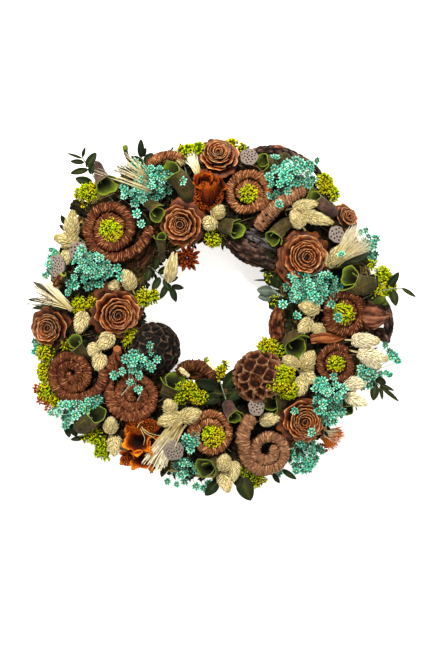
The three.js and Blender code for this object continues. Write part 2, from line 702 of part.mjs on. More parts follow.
const ROLLS = [
  // node, tail pixel and height, mouth pixel and height, mouth radius, tail radius, turn of the seam
  ["leaf_rolls_top_left", 98, 166, 50, 107, 189, 54, 9.2, 4, 200],
  ["leaf_rolls_top_left", 149, 204, 50, 160, 216, 55, 7.8, 5, 160],
  ["leaf_rolls_top_left", 163, 257, 46, 161, 236, 50, 5.4, 3, 200],
  ["leaf_rolls_top_left", 188, 189, 50, 170, 173, 51, 10.4, 6, 250],
  ["leaf_rolls_top", 284, 156, 50, 263, 163, 54, 7.6, 5, 200],
  ["leaf_rolls_top", 219, 224, 50, 239, 231, 56, 8.6, 4.4, 160],
  ["leaf_rolls_top", 286, 224, 50, 272, 241, 56, 8, 6, 160],
  ["leaf_rolls_right", 374, 285, 44, 350, 276, 54, 9, 6.4, 200],
  ["leaf_rolls_right", 333, 195, 48, 319, 207, 54, 7.4, 5, 200],
  ["leaf_rolls_low_right", 288, 334, 46, 299, 346, 50, 10.5, 7, 160],
  ["leaf_rolls_low_right", 345, 396, 46, 349, 409, 48, 7.4, 6, 200],
  ["leaf_rolls_low_right", 283, 396, 48, 271, 405, 52, 7, 5, 160],
  ["leaf_rolls_bottom", 227, 404, 48, 236, 418, 55, 7.2, 5, 200],
  ["leaf_rolls_bottom", 216, 461, 44, 204, 469, 50, 9.4, 6.6, 160],
  ["leaf_rolls_bottom", 168, 393, 48, 176, 379, 52, 8.6, 6.4, 160],
  ["leaf_rolls_left", 82, 426, 42, 97, 412, 47, 9.4, 7, 200],
  ["leaf_rolls_left", 88, 355, 48, 75, 341, 56, 6.6, 3, 160],
];

for (const [node, x0, y0, z0, x1, y1, z1, mouth, tail, seam] of ROLLS) {
  const a = at(x0, y0, z0);
  const b = at(x1, y1, z1);
  const along = b.clone().sub(a).normalize();
  const side = along.clone().cross(UP).normalize();
  const over = side.clone().cross(along).normalize();
  const rows = (inset) =>
    [[-0.16, 1.7], [0.1, tail], [1, mouth]].map(([t, r]) => {
      const middle = a.clone().lerp(b, t);
      return Array.from({ length: 6 }, (_, k) => {
        const turn = rad(seam) + rad(310) * (k / 5);
        const reach = Math.max(r * (1 + 0.12 * (k / 5)) - inset, 0.45);
        return middle.clone().addScaledVector(side, reach * Math.cos(turn)).addScaledVector(over, reach * Math.sin(turn));
      });
    });
  lower(node, `${node} roll`, slab(rows(0), rows(LEAF_T)));
}

// orange cups: bells of lobed petals, hollow inside, with a rust tuft and a brush beside them

const CUPS = [
  // node, centre, radius, height, tilt, lobes
  ["orange_top", 209, 190, 16, 13, [0.1, 0.15], 5],
  ["orange_bottom", 130, 441, 8.5, 8, [-0.2, 0.1], 5],
  ["orange_bottom", 144, 440, 7.5, 7, [0.15, 0.1], 5],
  ["orange_bottom", 141, 456, 8, 7, [0.1, -0.3], 5],
];

for (const [node, x, y, r, high, tilt, lobes] of CUPS) {
  const rings = [
    [0, -4], [0.3 * r, -3], [0.8 * r, 0.3 * high], [r, high], [0.9 * r, high], [0.6 * r, 0.4 * high], [0, 0.12 * high],
  ];
  lower(node, `${node} cup`, turned(rings, 2 * lobes, 0.1, lobes, facing(x, y, 50, tilt)));
}

lower("orange_bottom", "rust tuft", tuft(facing(136, 427, 50), 13, 5.5, 7, 21));

// canary-grass heads: cream pointed heads of overlapping husks, in bunches on short stems

function head(foot, tail, tip, r) {
  const along = tip.clone().sub(tail).normalize();
  const steps = [[0.28, 1], [0.64, 0.84]];
  const rings = steps.map(([t, w], i) => round(tail.clone().lerp(tip, t), along, 5, w * r, 0.6 * i));
  const husks = sprout([round(tail, along, 3, 1.2), ...rings], tip);
  const held = tail.clone().lerp(tip, 0.25);
  const way = held.clone().sub(foot).normalize();
  return join([husks, sprout([round(foot, way, 3, 0.8), round(held, way, 3, 0.8)])]);
}

const HEADS = [
  // node, foot pixel, then each head as tail, tip, half width and rise of the tip
  ["grass_heads_left", [72, 244], [[70, 240, 76, 210, 8, 6], [80, 243, 54, 238, 7.4, 3], [68, 249, 67, 262, 4.2, 0]]],
  ["grass_heads_left", [124, 284], [[131, 288, 123, 270, 6.6, 4], [119, 285, 109, 286, 4.8, 1]]],
  ["grass_heads_left", [86, 315], [[86, 313, 76, 333, 7.6, 2]]],
  ["grass_heads_low_left", [101, 346], [[111, 335, 99, 349, 6.6, 3], [98, 345, 90, 354, 5, 1], [101, 354, 99, 370, 7.4, 0]]],
  ["grass_heads_top", [214, 218], [[213, 216, 222, 208, 7.6, 6], [214, 219, 205, 229, 8.2, 4]]],
  ["grass_heads_top", [303, 216], [[296, 208, 314, 203, 5.2, 2], [304, 218, 288, 229, 5.6, 2], [308, 220, 333, 222, 6.4, 6]]],
  ["grass_heads_right", [307, 323], [[318, 308, 298, 317, 7.6, 5], [309, 321, 301, 333, 6.6, 3], [312, 327, 326, 329, 4.4, 2]]],
  ["grass_heads_right", [356, 348], [[354, 340, 382, 340, 7.6, 3], [358, 354, 390, 358, 7.4, 1], [357, 360, 380, 368, 5, -3]]],
  ["grass_heads_right", [350, 382], [[346, 383, 366, 381, 7, 3]]],
  ["grass_heads_right", [356, 400], [[348, 402, 368, 397, 6.6, 3]]],
  ["grass_heads_low_right", [299, 370], [
    [296, 367, 284, 357, 7, 5], [301, 366, 314, 353, 7.4, 7], [304, 373, 314, 381, 5.4, 3], [300, 375, 299, 395, 7, 4],
  ]],
  ["grass_heads_bottom", [268, 420], [[262, 420, 279, 419, 6.6, 3]]],
  ["grass_heads_bottom", [225, 470], [[222, 469, 226, 454, 7, 4], [230, 466, 235, 481, 4.8, 1], [224, 472, 226, 492, 7, -4]]],
  ["grass_heads_bottom_left", [114, 434], [[114, 434, 111, 416, 7, 4], [114, 436, 114, 457, 6.2, -2]]],
  ["grass_heads_bottom_left", [178, 413], [
    [178, 411, 163, 402, 6.4, 3], [178, 414, 156, 424, 8, 4], [182, 413, 201, 414, 8.6, 6],
  ]],
];

HEADS.forEach(([node, [fx, fy], heads], which) => {
  const foot = at(fx, fy, 47);
  const inward = acrossRing(foot).out;
  const bunch = heads.map(([x0, y0, x1, y1, r, rise]) => {
    const tip = at(x1, y1, 50 + rise);
    tip.z -= Math.max(acrossRing(tip).out - inward, 0) * 0.25;
    return head(foot, at(x0, y0, 50), tip, r);
  });
  lower(node, `${node} bunch ${which + 1}`, join([knotted(foot, 2.8), ...bunch]), [foot]);
});

// a bleached pod

{
  const path = [[168, 284], [168, 278], [171, 268], [173, 260], [176, 253]].map(([x, y], i) => at(x, y, 46 + 2 * i));
  lower("bleached_pod", "bleached_pod", rod(path, [2.2, 5.4, 6, 4.6, 1.2], 6));
}

for (const row of LATE_FANS) putFan(...row);

// star flowers: small five-pointed blooms on thin stems from one foot

const STARS = [
  // node, foot pixel, centre, half width and half height of the cluster, blooms, rise over the foot
  ["stars_top_left", 134, 200, 146, 188, 14, 17, 8, 14],
  ["stars_top_right", 292, 178, 294, 180, 25, 18, 8, 13],
  ["stars_left", 68, 284, 56, 276, 8, 14, 4, 11],
  ["stars_left", 97, 273, 96, 271, 22, 19, 8, 14],
  ["stars_right", 322, 288, 316, 289, 24, 15, 7, 14],
  ["stars_right", 366, 252, 369, 248, 10, 14, 4, 10],
  ["stars_low_left", 127, 362, 137, 368, 18, 21, 7, 16],
  ["stars_low_left", 80, 412, 76, 413, 21, 14, 5, 14],
  ["stars_low_right", 326, 400, 327, 401, 16, 21, 8, 15],
  ["stars_low_right", 372, 372, 380, 364, 14, 19, 5, 11],
  ["stars_bottom", 300, 448, 306, 458, 14, 17, 6, 12],
  ["stars_bottom_left", 190, 455, 188, 444, 9, 7, 3, 12],
  ["stars_bottom_left", 186, 462, 184, 470, 11, 8, 4, 11],
];

STARS.forEach(([node, fx, fy, x, y, rx, ry, count, high], which) => {
  const draw = draws(300 + which);
  const foot = at(fx, fy, 45);
  const limbs = Array.from({ length: count }, (_, i) => {
    const a = i * 2.39996 + which;
    const out = Math.sqrt((i + 0.5) / count) * lerp(0.86, 1, draw());
    const rise = 45 + high - 7 * out * out + 3 * draw();
    const spot = at(x, y, rise).add(vec(rx * out * Math.cos(a), ry * out * Math.sin(a)));
    spot.z -= Math.max(acrossRing(spot).out - acrossRing(foot).out, 0) * 0.3;
    const face = vec(0.5 * out * Math.cos(a), 0.5 * out * Math.sin(a), 1).normalize();
    const r = lerp(4.4, 5, draw());
    const neck = spot.clone().addScaledVector(face, -1.6);
    const petals = round(spot, face, 10, (k) => (k % 2 ? 0.52 * r : r), draw() * 6);
    const stem = round(neck, bend(foot, neck, face), 3, 0.75);
    return { aim: neck, rings: [stem, petals], cap: spot.clone().addScaledVector(face, 0.8) };
  });
  lower(node, `${node} cluster ${which + 1}`, sheaf(foot, 3, limbs), [foot]);
});

// wires in the straw: a florist's wire ties the pieces of one node that stand apart

const column = (x, y, low, high, wide) =>
  solid(new THREE.BoxGeometry(wide, wide, high - low), new THREE.Matrix4().makeTranslation(x, y, (low + high) / 2));

// Places under a body where the end of a wire can be buried, with their height.
function spots(body, anchors) {
  const box = body.boundingBox();
  const grid = anchors.map((p) => [p.x, p.y]);
  const step = Math.max(2.4, (box.max[0] - box.min[0]) / 12, (box.max[1] - box.min[1]) / 12);
  for (let x = box.min[0] + 1.4; x < box.max[0] - 1; x += step)
    for (let y = box.min[1] + 1.4; y < box.max[1] - 1; y += step) grid.push([x, y]);
  const list = [];
  for (const [x, y] of grid) {
    if (Math.abs(acrossRing(vec(x, y)).out) > 1.15 * RING_HALF_WIDTH) continue;
    const hit = column(x, y, 5, 100, 1.2).intersect(body);
    if (hit.isEmpty()) continue;
    const z = hit.boundingBox().min[2];
    for (const bite of [0.9, 1.5, 2.3, 3.2]) {
      const held = column(x, y, z + bite - 0.5, z + bite, 1.2).intersect(body).volume();
      if (held < 0.8 * 0.5 * 1.44) continue;
      list.push(vec(x, y, z + bite));
      break;
    }
  }
  return list;
}

const wires = [];

// A wire dips from one piece into the straw and comes up under the other.
function tie(node, a, b, anchors, others) {
  const tries = [];
  const firsts = spots(a, anchors);
  const seconds = spots(b, anchors);
  for (const p of firsts)
    for (const q of seconds) {
      const flat = Math.hypot(p.x - q.x, p.y - q.y);
      if (flat > 9) tries.push([flat + 0.4 * (p.z + q.z), p, q]);
    }
  tries.sort((s, t) => s[0] - t[0]);
  const few = tries.filter((_, i) => i < 8 || i % Math.ceil(tries.length / 50) === 0);
  for (const [, p, q] of few)
    for (const [share, shift] of [[0.5, 0], [0.75, 0], [0.6, 7], [0.6, -7], [1, 0]]) {
      const side = q.clone().sub(p).setZ(0).cross(UP).normalize();
      const deep = clamp(share * p.distanceTo(q), 6, 26);
      const dip = p.clone().lerp(q, 0.5).addScaledVector(side, shift);
      dip.z = Math.min(dip.z - deep, 38.5);
      const sharp = p.clone().sub(dip).normalize().dot(q.clone().sub(dip).normalize()) > 0.5;
      const leg = (end, r) => rod([end, dip.clone().add(dip.clone().sub(end).setLength(1))], [r, r], 3);
      const bent = (r) => (sharp ? join([leg(p, r), leg(q, r)]) : rod([p, dip, q], [r, r, r], 3));
      const room = bent(WIRE_ROOM);
      if (meets(room, others)) continue;
      wires.push({ node, body: room, box: room.boundingBox() });
      return bent(WIRE);
    }
  return null;
}

const order = [];
for (const p of pieces) if (!order.includes(p.node)) order.push(p.node);
const bodies = new Map();
const untied = [];
for (const node of order) {
  let body = join(pieces.filter((p) => p.node === node).map((p) => p.body));
  let loose = body.decompose();
  while (loose.length > 1) {
    let best = null;
    for (let i = 0; i < loose.length; i += 1)
      for (let k = i + 1; k < loose.length; k += 1) {
        const gap = loose[i].minGap(loose[k], 200);
        if (!best || gap < best.gap) best = { i, k, gap };
      }
    const others = pieces.filter((p) => p.node !== node);
    for (const w of wires) if (w.node !== node) others.push(w);
    const anchors = pieces.filter((p) => p.node === node).flatMap((p) => p.anchors);
    const wire = tie(node, loose[best.i], loose[best.k], anchors, others);
    if (!wire) {
      untied.push([node, best.gap]);
      break;
    }
    body = join([body, wire]);
    loose = body.decompose();
  }
  bodies.set(node, body);
}
const tunnels = wires.map((w) => w.body);
const ringBody = tunnels.length ? ring.subtract(join(tunnels)) : ring;
const whole = (body) => body.decompose().reduce((p, q) => (q.volume() > p.volume() ? q : p));
bodies.set("straw_ring", whole(ringBody));

// the finished parts, each with its colour

const FINISH = [
  // start of the node name, colour, roughness
  ["straw_ring", 0xb08a4e, 0.95],
  ["coil_", 0x8a5636, 0.8],
  ["curl_", 0x84502f, 0.8],
  ["bark_", 0x5a3526, 0.9],
  ["brown_", 0x5e3824, 0.85],
  ["rose_", 0x96502a, 0.6],
  ["lotus_large", 0x7d6a60, 0.85],
  ["lotus_small", 0x8c8486, 0.85],
  ["leaf_rolls", 0x66703a, 0.8],
  ["orange_", 0xc85a10, 0.75],
  ["grass_", 0xe6d9a8, 0.85],
  ["bleached_", 0xe9e0c4, 0.8],
  ["stars_", 0x39c2ae, 0.7],
  ["ruscus_", 0x26361c, 0.65],
];

const wreath = new THREE.Group();
wreath.name = "wood_flower_wreath";

for (const [name, body] of bodies) {
  const [, color, roughness] = FINISH.find(([start]) => name.startsWith(start));
  const mesh = new THREE.Mesh(toGeometry(body), new THREE.MeshStandardMaterial({ color, roughness, metalness: 0 }));
  mesh.name = name;
  wreath.add(mesh);
}

export default wreath;
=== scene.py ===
# %% [markdown]
# # A wreath of wood flowers, seed pods and dried blooms
# This lesson dresses a wreath about 39 cm across. On a ring of straw lie ribbed spiral coils,
# cedar roses, lotus pods, rolled leaves, cream grass heads, turquoise star flowers, lime moss
# and sprigs of ruscus.
# Each kind of piece could be sculpted by hand or scanned. Here every kind is a formula,
# because one formula makes all its repeats, and one number changes all of them at once.

import math

import bmesh
import bpy
import numpy as np
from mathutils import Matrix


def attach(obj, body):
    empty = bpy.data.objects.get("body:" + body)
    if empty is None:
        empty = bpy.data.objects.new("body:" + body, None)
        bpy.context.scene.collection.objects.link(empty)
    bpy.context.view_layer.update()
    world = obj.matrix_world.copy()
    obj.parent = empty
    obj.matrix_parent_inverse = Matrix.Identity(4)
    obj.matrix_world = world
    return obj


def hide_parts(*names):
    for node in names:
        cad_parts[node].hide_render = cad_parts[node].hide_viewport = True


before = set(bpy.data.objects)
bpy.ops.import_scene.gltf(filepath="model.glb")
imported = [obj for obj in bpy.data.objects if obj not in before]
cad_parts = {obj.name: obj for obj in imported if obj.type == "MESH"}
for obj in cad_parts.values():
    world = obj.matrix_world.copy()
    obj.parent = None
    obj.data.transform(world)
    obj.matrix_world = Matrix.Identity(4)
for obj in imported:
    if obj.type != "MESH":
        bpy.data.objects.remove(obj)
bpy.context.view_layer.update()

# %% [markdown]
# ## Places and sizes
# One pixel of the picture is one millimetre on this wreath. So a place is written as a pixel
# and a height over the table, and one function turns it into a point. Metres would do as
# well, but pixels are easier to check against the picture. All lengths are millimetres until
# a mesh is made.

# %%
# The wreath's own measures
ORIGIN = (221.5, 319.5)  # the pixel over the middle of the underside
RING = (-10.5, 6.5)  # the middle of the straw ring
RING_R = 120.0  # from there to the middle of the straw
RING_HALF = 48.0  # half the width of the straw
RING_TOP = 42.0  # its height
SWELL = 95.0  # pieces lean outwards as on a tube of this radius
GOLDEN = math.pi * (3 - math.sqrt(5))  # the golden angle, which spreads seeds and petals evenly
UP = (0.02, 0.03, 1.0)  # almost straight up, so that no path runs exactly along it
rng = np.random.default_rng(7)
print("straw ring", 2 * (RING_R + RING_HALF), "mm across and", RING_TOP, "mm high")

# %%
# Points, unit vectors and smooth noise


def stack(x, y, z):
    """Points, from three arrays of x, y and z whose shapes match."""
    return np.stack(np.broadcast_arrays(x, y, z), -1)


def px(x, y, z=0.0):
    """The point in millimetres over a pixel of the picture."""
    x, y, z = (np.asarray(v, float) for v in (x, y, z))
    return stack(x - ORIGIN[0], ORIGIN[1] - y, z)


def unit(v):
    """Vectors of length one."""
    v = np.asarray(v, float)
    return v / np.maximum(np.linalg.norm(v, axis=-1, keepdims=True), 1e-9)


def noise(points, scale, seed=0):
    """Smooth random numbers from 0 to 1: random values on the corners of cubes of side scale,
    blended along each axis with the smooth step 3t^2 - 2t^3. Large primes mix the corner's
    three whole numbers into one value."""
    p = np.asarray(points, float) / scale + 512.0
    cell = np.floor(p).astype(np.int64)
    t = p - cell
    t = t * t * (3 - 2 * t)
    total = np.zeros(p.shape[:-1])
    for corner in np.ndindex(2, 2, 2):
        at = cell + np.array(corner)
        h = at[..., 0] * 73856093 ^ at[..., 1] * 19349663 ^ at[..., 2] * 83492791 ^ seed * 40503
        h = (h ^ (h >> 13)) * 1274126177
        value = ((h ^ (h >> 16)) & 65535) / 65535.0
        total += value * np.prod(np.where(corner, t, 1 - t), axis=-1)
    return total


# %%
# A local frame for a piece that lies on the wreath


def frame_over(x, y, z, tilt=None):
    """A local frame over a pixel: x to the right, y up the picture and z along the facing
    direction. Without a tilt it leans outwards with the swell of the wreath."""
    point = px(x, y, z)
    flat = point[:2] - RING
    out = np.hypot(*flat)
    lean = tilt if tilt is not None else flat / out * (out - RING_R) / SWELL
    face = unit([lean[0], lean[1], 1.0])
    right = unit(np.array([1.0, 0, 0]) - face * face[0])
    return point, np.stack([right, np.cross(face, right), face])


def put(local, place):
    """Local points into the frame made by frame_over."""
    origin, axes = place
    return origin + np.asarray(local, float) @ axes


# %% [markdown]
# ## From grids of points to one mesh
# A star cluster has hundreds of petals. Each could be an object of its own, but Blender slows
# down with thousands of objects. So a heap gathers the petals, each a small grid of points,
# and becomes one mesh. Two numbers go with each point: a shade and tone value, from deep (0) to
# rim or tip (1), and tint, a chance value that is the same all over one petal. The first is
# painted shade where it is low in the depths between parts, and the piece's own paler tone at
# its rims and tips. The materials read both.

# %%
# The heap of grids


class Heap:
    """Grids of points gathered for one mesh."""

    def __init__(self):
        self.co, self.edge, self.tint = [], [], []
        self.faces = {3: [], 4: []}
        self.count = 0

    def _add(self, points, edge, tint):
        shape = points.shape[:-1]
        self.co.append(points.reshape(-1, 3))
        self.edge.append(np.broadcast_to(edge, shape).reshape(-1))
        self.tint.append(np.broadcast_to(tint, shape).reshape(-1))
        first = self.count
        self.count += int(np.prod(shape))
        return first + np.arange(np.prod(shape)).reshape(shape)

    def _face(self, corners, slot):
        sides = corners.shape[-1]
        corners = corners.reshape(-1, sides)
        self.faces[sides].append(np.column_stack([corners, np.full(len(corners), slot)]))

    def grid(self, points, edge=0.5, tint=0.5, wrap=False, slot=0, start=None, end=None):
        """Joins a grid (rows, columns, 3), or many at once, into quads. wrap closes each row
        to a ring. start and end are points that close the first and the last ring."""
        points = np.asarray(points, float)
        if points.ndim == 3:
            points = points[None]
            edge = edge if np.ndim(edge) < 2 else np.asarray(edge)[None]
        tint = np.asarray(tint, float)
        if tint.ndim == 1:
            tint = tint[:, None, None]
        index = self._add(points, edge, tint)
        side = np.concatenate([index, index[:, :, :1]], 2) if wrap else index
        a, b = side[:, :-1, :-1], side[:, :-1, 1:]
        c, d = side[:, 1:, 1:], side[:, 1:, :-1]
        self._face(np.stack([a, b, c, d], -1), slot)
        for pole, row, turned in ((start, 0, True), (end, -1, False)):
            if pole is None:
                continue
            pole = np.asarray(pole, float).reshape(len(points), 1, 3)
            value = np.broadcast_to(edge, points.shape[:-1])[:, row, :1]
            tip = self._add(pole, value, tint[:, 0, :1] if tint.ndim == 3 else tint)
            ring = side[:, row]
            tips = np.broadcast_to(tip, ring[:, 1:].shape)
            pair = (ring[:, 1:], ring[:, :-1]) if turned else (ring[:, :-1], ring[:, 1:])
            self._face(np.stack([pair[0], pair[1], tips], -1), slot)

    def sheet(self, top, bottom, edge, tint, slot):
        """A thin body between two grids (rows, columns, 3), with walls round its border."""
        borders = []
        for points, flip in ((top, False), (bottom, True)):
            g = self._add(points, edge, tint)
            ring = [g[:-1, :-1], g[:-1, 1:], g[1:, 1:], g[1:, :-1]]
            self._face(np.stack(ring[::-1] if flip else ring, -1), slot)
            borders.append(np.concatenate([g[0, :-1], g[:-1, -1], g[-1, :0:-1], g[::-1, 0]]))
        p, q = (np.append(border, border[0]) for border in borders)
        self._face(np.stack([p[:-1], q[:-1], q[1:], p[1:]], -1), slot)

    def mesh(self, name):
        """One mesh in metres, its faces turned outwards."""
        co = np.concatenate(self.co) * 0.001
        blocks = [np.concatenate(self.faces[s]) for s in (3, 4) if self.faces[s]]
        loops = np.concatenate([b[:, :-1].ravel() for b in blocks])
        sides = np.concatenate([np.full(len(b), b.shape[1] - 1) for b in blocks])
        starts = np.concatenate([[0], np.cumsum(sides)[:-1]])
        slots = np.concatenate([b[:, -1] for b in blocks])
        data = bpy.data.meshes.new(name)
        data.vertices.add(len(co))
        data.vertices.foreach_set("co", co.ravel())
        data.loops.add(len(loops))
        data.loops.foreach_set("vertex_index", loops.astype(np.int32))
        data.polygons.add(len(sides))
        for key, values in (("loop_start", starts), ("loop_total", sides), ("material_index", slots)):
            data.polygons.foreach_set(key, values.astype(np.int32))
        data.update(calc_edges=True)
        for key, values in (("edge", self.edge), ("tint", self.tint)):
            layer = data.attributes.new(key, "FLOAT", "POINT")
            layer.data.foreach_set("value", np.concatenate(values).astype(np.float32))
        work = bmesh.new()
        work.from_mesh(data)
        bmesh.ops.recalc_face_normals(work, faces=work.faces)
        work.to_mesh(data)
        work.free()
        return data


# %%
# From a heap to a finished piece
TRIANGLES = {}


def piece(heap, name, stains, nodes=(), slot=None, smooth=True):
    """Makes the object, puts its materials on and ties it to the frame."""
    data = heap.mesh(name)
    data.polygons.foreach_set("use_smooth", np.full(len(data.polygons), smooth))
    for stain in stains:
        data.materials.append(stain)
    obj = bpy.data.objects.new(name, data)
    bpy.context.scene.collection.objects.link(obj)
    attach(obj, "root")
    if nodes:
        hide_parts(*nodes)
    TRIANGLES[name] = sum(len(p.vertices) - 2 for p in data.polygons)


def tell(kind):
    """Prints the triangles of the pieces whose names hold a word."""
    found = [count for name, count in TRIANGLES.items() if kind in name]
    print(kind, len(found), "pieces", sum(found), "triangles")


# %% [markdown]
# ## One finish for everything that is dried
# Dried plants are matt, and their colour runs from dark in the depths to pale at the rims. The
# dark in the depths is painted shade; the pale rims and tips are partly the plants' own tone and
# partly painted light. An image could show that, but it would have to be unwrapped on every
# petal. Here one function builds all the materials from numbers: a ramp over the shade and tone
# value, a chance change for each petal (tint), a grain of noise and a fine bump, both sized in
# real millimetres. A faint sheen is added where a leaf is felted. The hex colours are those of
# the picture, a little darker, because the studio light is strong enough to turn the floor white.
# The finest real fibres, a tenth of a millimetre, would vanish at one pixel a millimetre. So
# grain and bump are drawn at 0.4 to 2 mm, as coarse as they need to be to show.

# %%
# Colours, nodes and the dried material


def linear(code):
    """An sRGB hex colour as linear red, green and blue."""
    v = np.array([int(code[i : i + 2], 16) for i in (1, 3, 5)]) / 255
    return (*np.where(v <= 0.04045, v / 12.92, ((v + 0.055) / 1.055) ** 2.4), 1.0)


def node(tree, kind, values=(), links=(), stops=(), **settings):
    """Adds a shader node with its settings, input values and links. On a colour ramp, stops
    are (position, hex colour)."""
    new = tree.nodes.new("ShaderNode" + kind)
    for key, value in settings.items():
        setattr(new, key, value)
    for key, value in values:
        new.inputs[key].default_value = value
    for key, source in links:
        tree.links.new(source, new.inputs[key])
    if stops:
        bar = new.color_ramp.elements
        while len(bar) < len(stops):
            bar.new(0.5)
        for element, (position, code) in zip(bar, stops):
            element.position = position
            element.color = linear(code)
    return new


def dried(name, stops, other=(), patch=14.0, spread=(0.75, 1.25), grain=(1.6, 0.25), bump=(0.7, 0.25),
          rough=0.85, sheen=0.0, stretch=(1, 1, 1), shine=0.12):
    """A dried plant. Its colour is a ramp over the shade and tone value, which is painted shade in
    the depths and the plant's own tone at rims and tips, mixed with a second ramp in patches so many
    millimetres wide, times a chance value of each petal (spread, for tint 0 and 1), times a
    grain of (millimetres, strength). Its bump is a noise of (millimetres, height)."""
    made = bpy.data.materials.new(name)
    made.use_nodes = True
    tree = made.node_tree
    shader = tree.nodes["Principled BSDF"]
    place = node(tree, "TexCoord").outputs["Object"]
    place = node(tree, "Mapping", [("Scale", stretch)], [("Vector", place)]).outputs["Vector"]
    at = [("Vector", place)]
    edge = node(tree, "Attribute", attribute_name="edge").outputs["Fac"]
    tint = node(tree, "Attribute", attribute_name="tint").outputs["Fac"]
    colour = node(tree, "ValToRGB", links=[("Fac", edge)], stops=stops).outputs["Color"]
    if other:
        second = node(tree, "ValToRGB", links=[("Fac", edge)], stops=other).outputs["Color"]
        wide = node(tree, "TexNoise", [("Scale", 1000 / patch), ("Detail", 1.0)], at).outputs["Fac"]
        limits = [("From Min", 0.42), ("From Max", 0.62)]
        push = node(tree, "MapRange", limits, [("Value", wide)]).outputs["Result"]
        both = [(0, push), (6, colour), (7, second)]
        colour = node(tree, "Mix", links=both, data_type="RGBA").outputs[2]
    limits = [("To Min", spread[0]), ("To Max", spread[1])]
    by_tint = node(tree, "MapRange", limits, [("Value", tint)]).outputs["Result"]
    fine = node(tree, "TexNoise", [("Scale", 1000 / grain[0]), ("Detail", 3.0)], at).outputs["Fac"]
    limits = [("From Min", 0.3), ("From Max", 0.7), ("To Min", 1 - grain[1]), ("To Max", 1 + grain[1])]
    by_grain = node(tree, "MapRange", limits, [("Value", fine)]).outputs["Result"]
    change = node(tree, "Math", links=[(0, by_tint), (1, by_grain)], operation="MULTIPLY").outputs[0]
    scaled = node(tree, "VectorMath", links=[(0, colour), ("Scale", change)], operation="SCALE")
    tree.links.new(scaled.outputs[0], shader.inputs["Base Color"])
    shader.inputs["Roughness"].default_value = rough
    shader.inputs["Specular IOR Level"].default_value = shine
    shader.inputs["Sheen Weight"].default_value = sheen
    relief = node(tree, "TexNoise", [("Scale", 1000 / bump[0]), ("Detail", 4.0)], at).outputs["Fac"]
    lift = node(tree, "Bump", [("Distance", bump[1] * 0.001), ("Strength", 0.9)], [("Height", relief)])
    tree.links.new(lift.outputs["Normal"], shader.inputs["Normal"])
    return made


# %% [markdown]
# ## Two formulas that make most of the wreath
# Husks, petals, bristles, moss and thorns are either round or flat. Blender's curves with a
# bevel could make the round ones, but not thousands of them quickly. So a tube is worked out
# here: at each step of a path a small circle stands square to the path. A blade is a flat
# boat: four points round its midline (left, keel, right, belly), wide in the middle and
# pointed at both ends.

# %%
# Smooth paths and the directions square to them


def spline(points, step):
    """A smooth path through the points (Catmull-Rom), with equal steps along it."""
    p = np.asarray(points, float)
    p = np.concatenate([[2 * p[0] - p[1]], p, [2 * p[-1] - p[-2]]])
    t = np.linspace(0, 1, 24, endpoint=False)[:, None, None]
    a, b, c, d = (p[i : len(p) - 3 + i][None] for i in range(4))
    way = 0.5 * (2 * b + (c - a) * t + (2 * a - 5 * b + 4 * c - d) * t**2
                 + (3 * b - a - 3 * c + d) * t**3)
    way = np.concatenate([way.transpose(1, 0, 2).reshape(-1, p.shape[1]), p[-2:-1]])
    length = np.concatenate([[0], np.cumsum(np.linalg.norm(np.diff(way, axis=0), axis=1))])
    even = np.linspace(0, length[-1], max(int(length[-1] / step), 2) + 1)
    return np.stack([np.interp(even, length, way[:, k]) for k in range(p.shape[1])], 1)


def around(paths, up):
    """The two directions square to each path: side = along x up, and over = side x along."""
    along = unit(np.gradient(paths, axis=-2))
    side = unit(np.cross(along, np.asarray(up, float)))
    return side, np.cross(side, along)


# %%
# Tubes and blades, many at once


def tubes(heap, paths, radii, sides=5, edge=0.5, tint=0.5, slot=0, up=UP):
    """Round tubes along paths (many, rows, 3) with radii (many, rows), closed at both ends. A
    ring is path + radius (side cos a + over sin a)."""
    paths = np.asarray(paths, float)
    if paths.ndim == 2:
        paths = paths[None]
    radii = np.broadcast_to(radii, paths.shape[:-1])
    side, over = around(paths, up)
    turn = 2 * np.pi * np.arange(sides) / sides
    ring = side[..., None, :] * np.cos(turn)[:, None] + over[..., None, :] * np.sin(turn)[:, None]
    edge = np.asarray(edge, float)
    if edge.ndim:
        edge = np.broadcast_to(edge, paths.shape[:-1])[..., None]
    skin = paths[..., None, :] + ring * radii[..., None, None]
    heap.grid(skin, edge, tint, True, slot, paths[:, 0], paths[:, -1])


def blades(heap, base, way, face, length, width, thick, bend=0.0, rows=2, shape=1.0, tint=0.5, slot=0,
           edges=(0.2, 1.0)):
    """Boat-shaped blades. The point at t along one is base + way length t + face bend length t^2.
    Its half width is width (4t(1-t))^shape, and its keel stands thick (4t(1-t))^0.5 high."""
    base, way = np.atleast_2d(base).astype(float), unit(np.atleast_2d(way))
    face = np.broadcast_to(face, base.shape)
    face = unit(face - way * np.sum(face * way, 1, keepdims=True))
    side = np.cross(way, face)
    sizes = (np.asarray(v, float) for v in (length, width, thick, bend))
    length, width, thick, bend = (np.broadcast_to(v, (len(base),))[:, None] for v in sizes)

    def reach(s):
        forward = way[:, None] * (length * s)[..., None]
        return base[:, None] + forward + face[:, None] * (bend * length * s**2)[..., None]

    t = (np.arange(1, rows + 1) / (rows + 1))[None]
    middle = reach(t)
    left = side[:, None] * (width * (4 * t * (1 - t)) ** shape)[..., None]
    deep = (thick * (4 * t * (1 - t)) ** 0.5)[..., None]
    keel, belly = face[:, None] * deep, face[:, None] * 0.5 * deep
    ring = np.stack([middle - left, middle + keel, middle + left, middle - belly], 2)
    shade = np.broadcast_to(edges[0] + (edges[1] - edges[0]) * t[..., None], ring.shape[:-1])
    heap.grid(ring, shade, tint, True, slot, base, reach(np.ones((1, 1)))[:, 0])
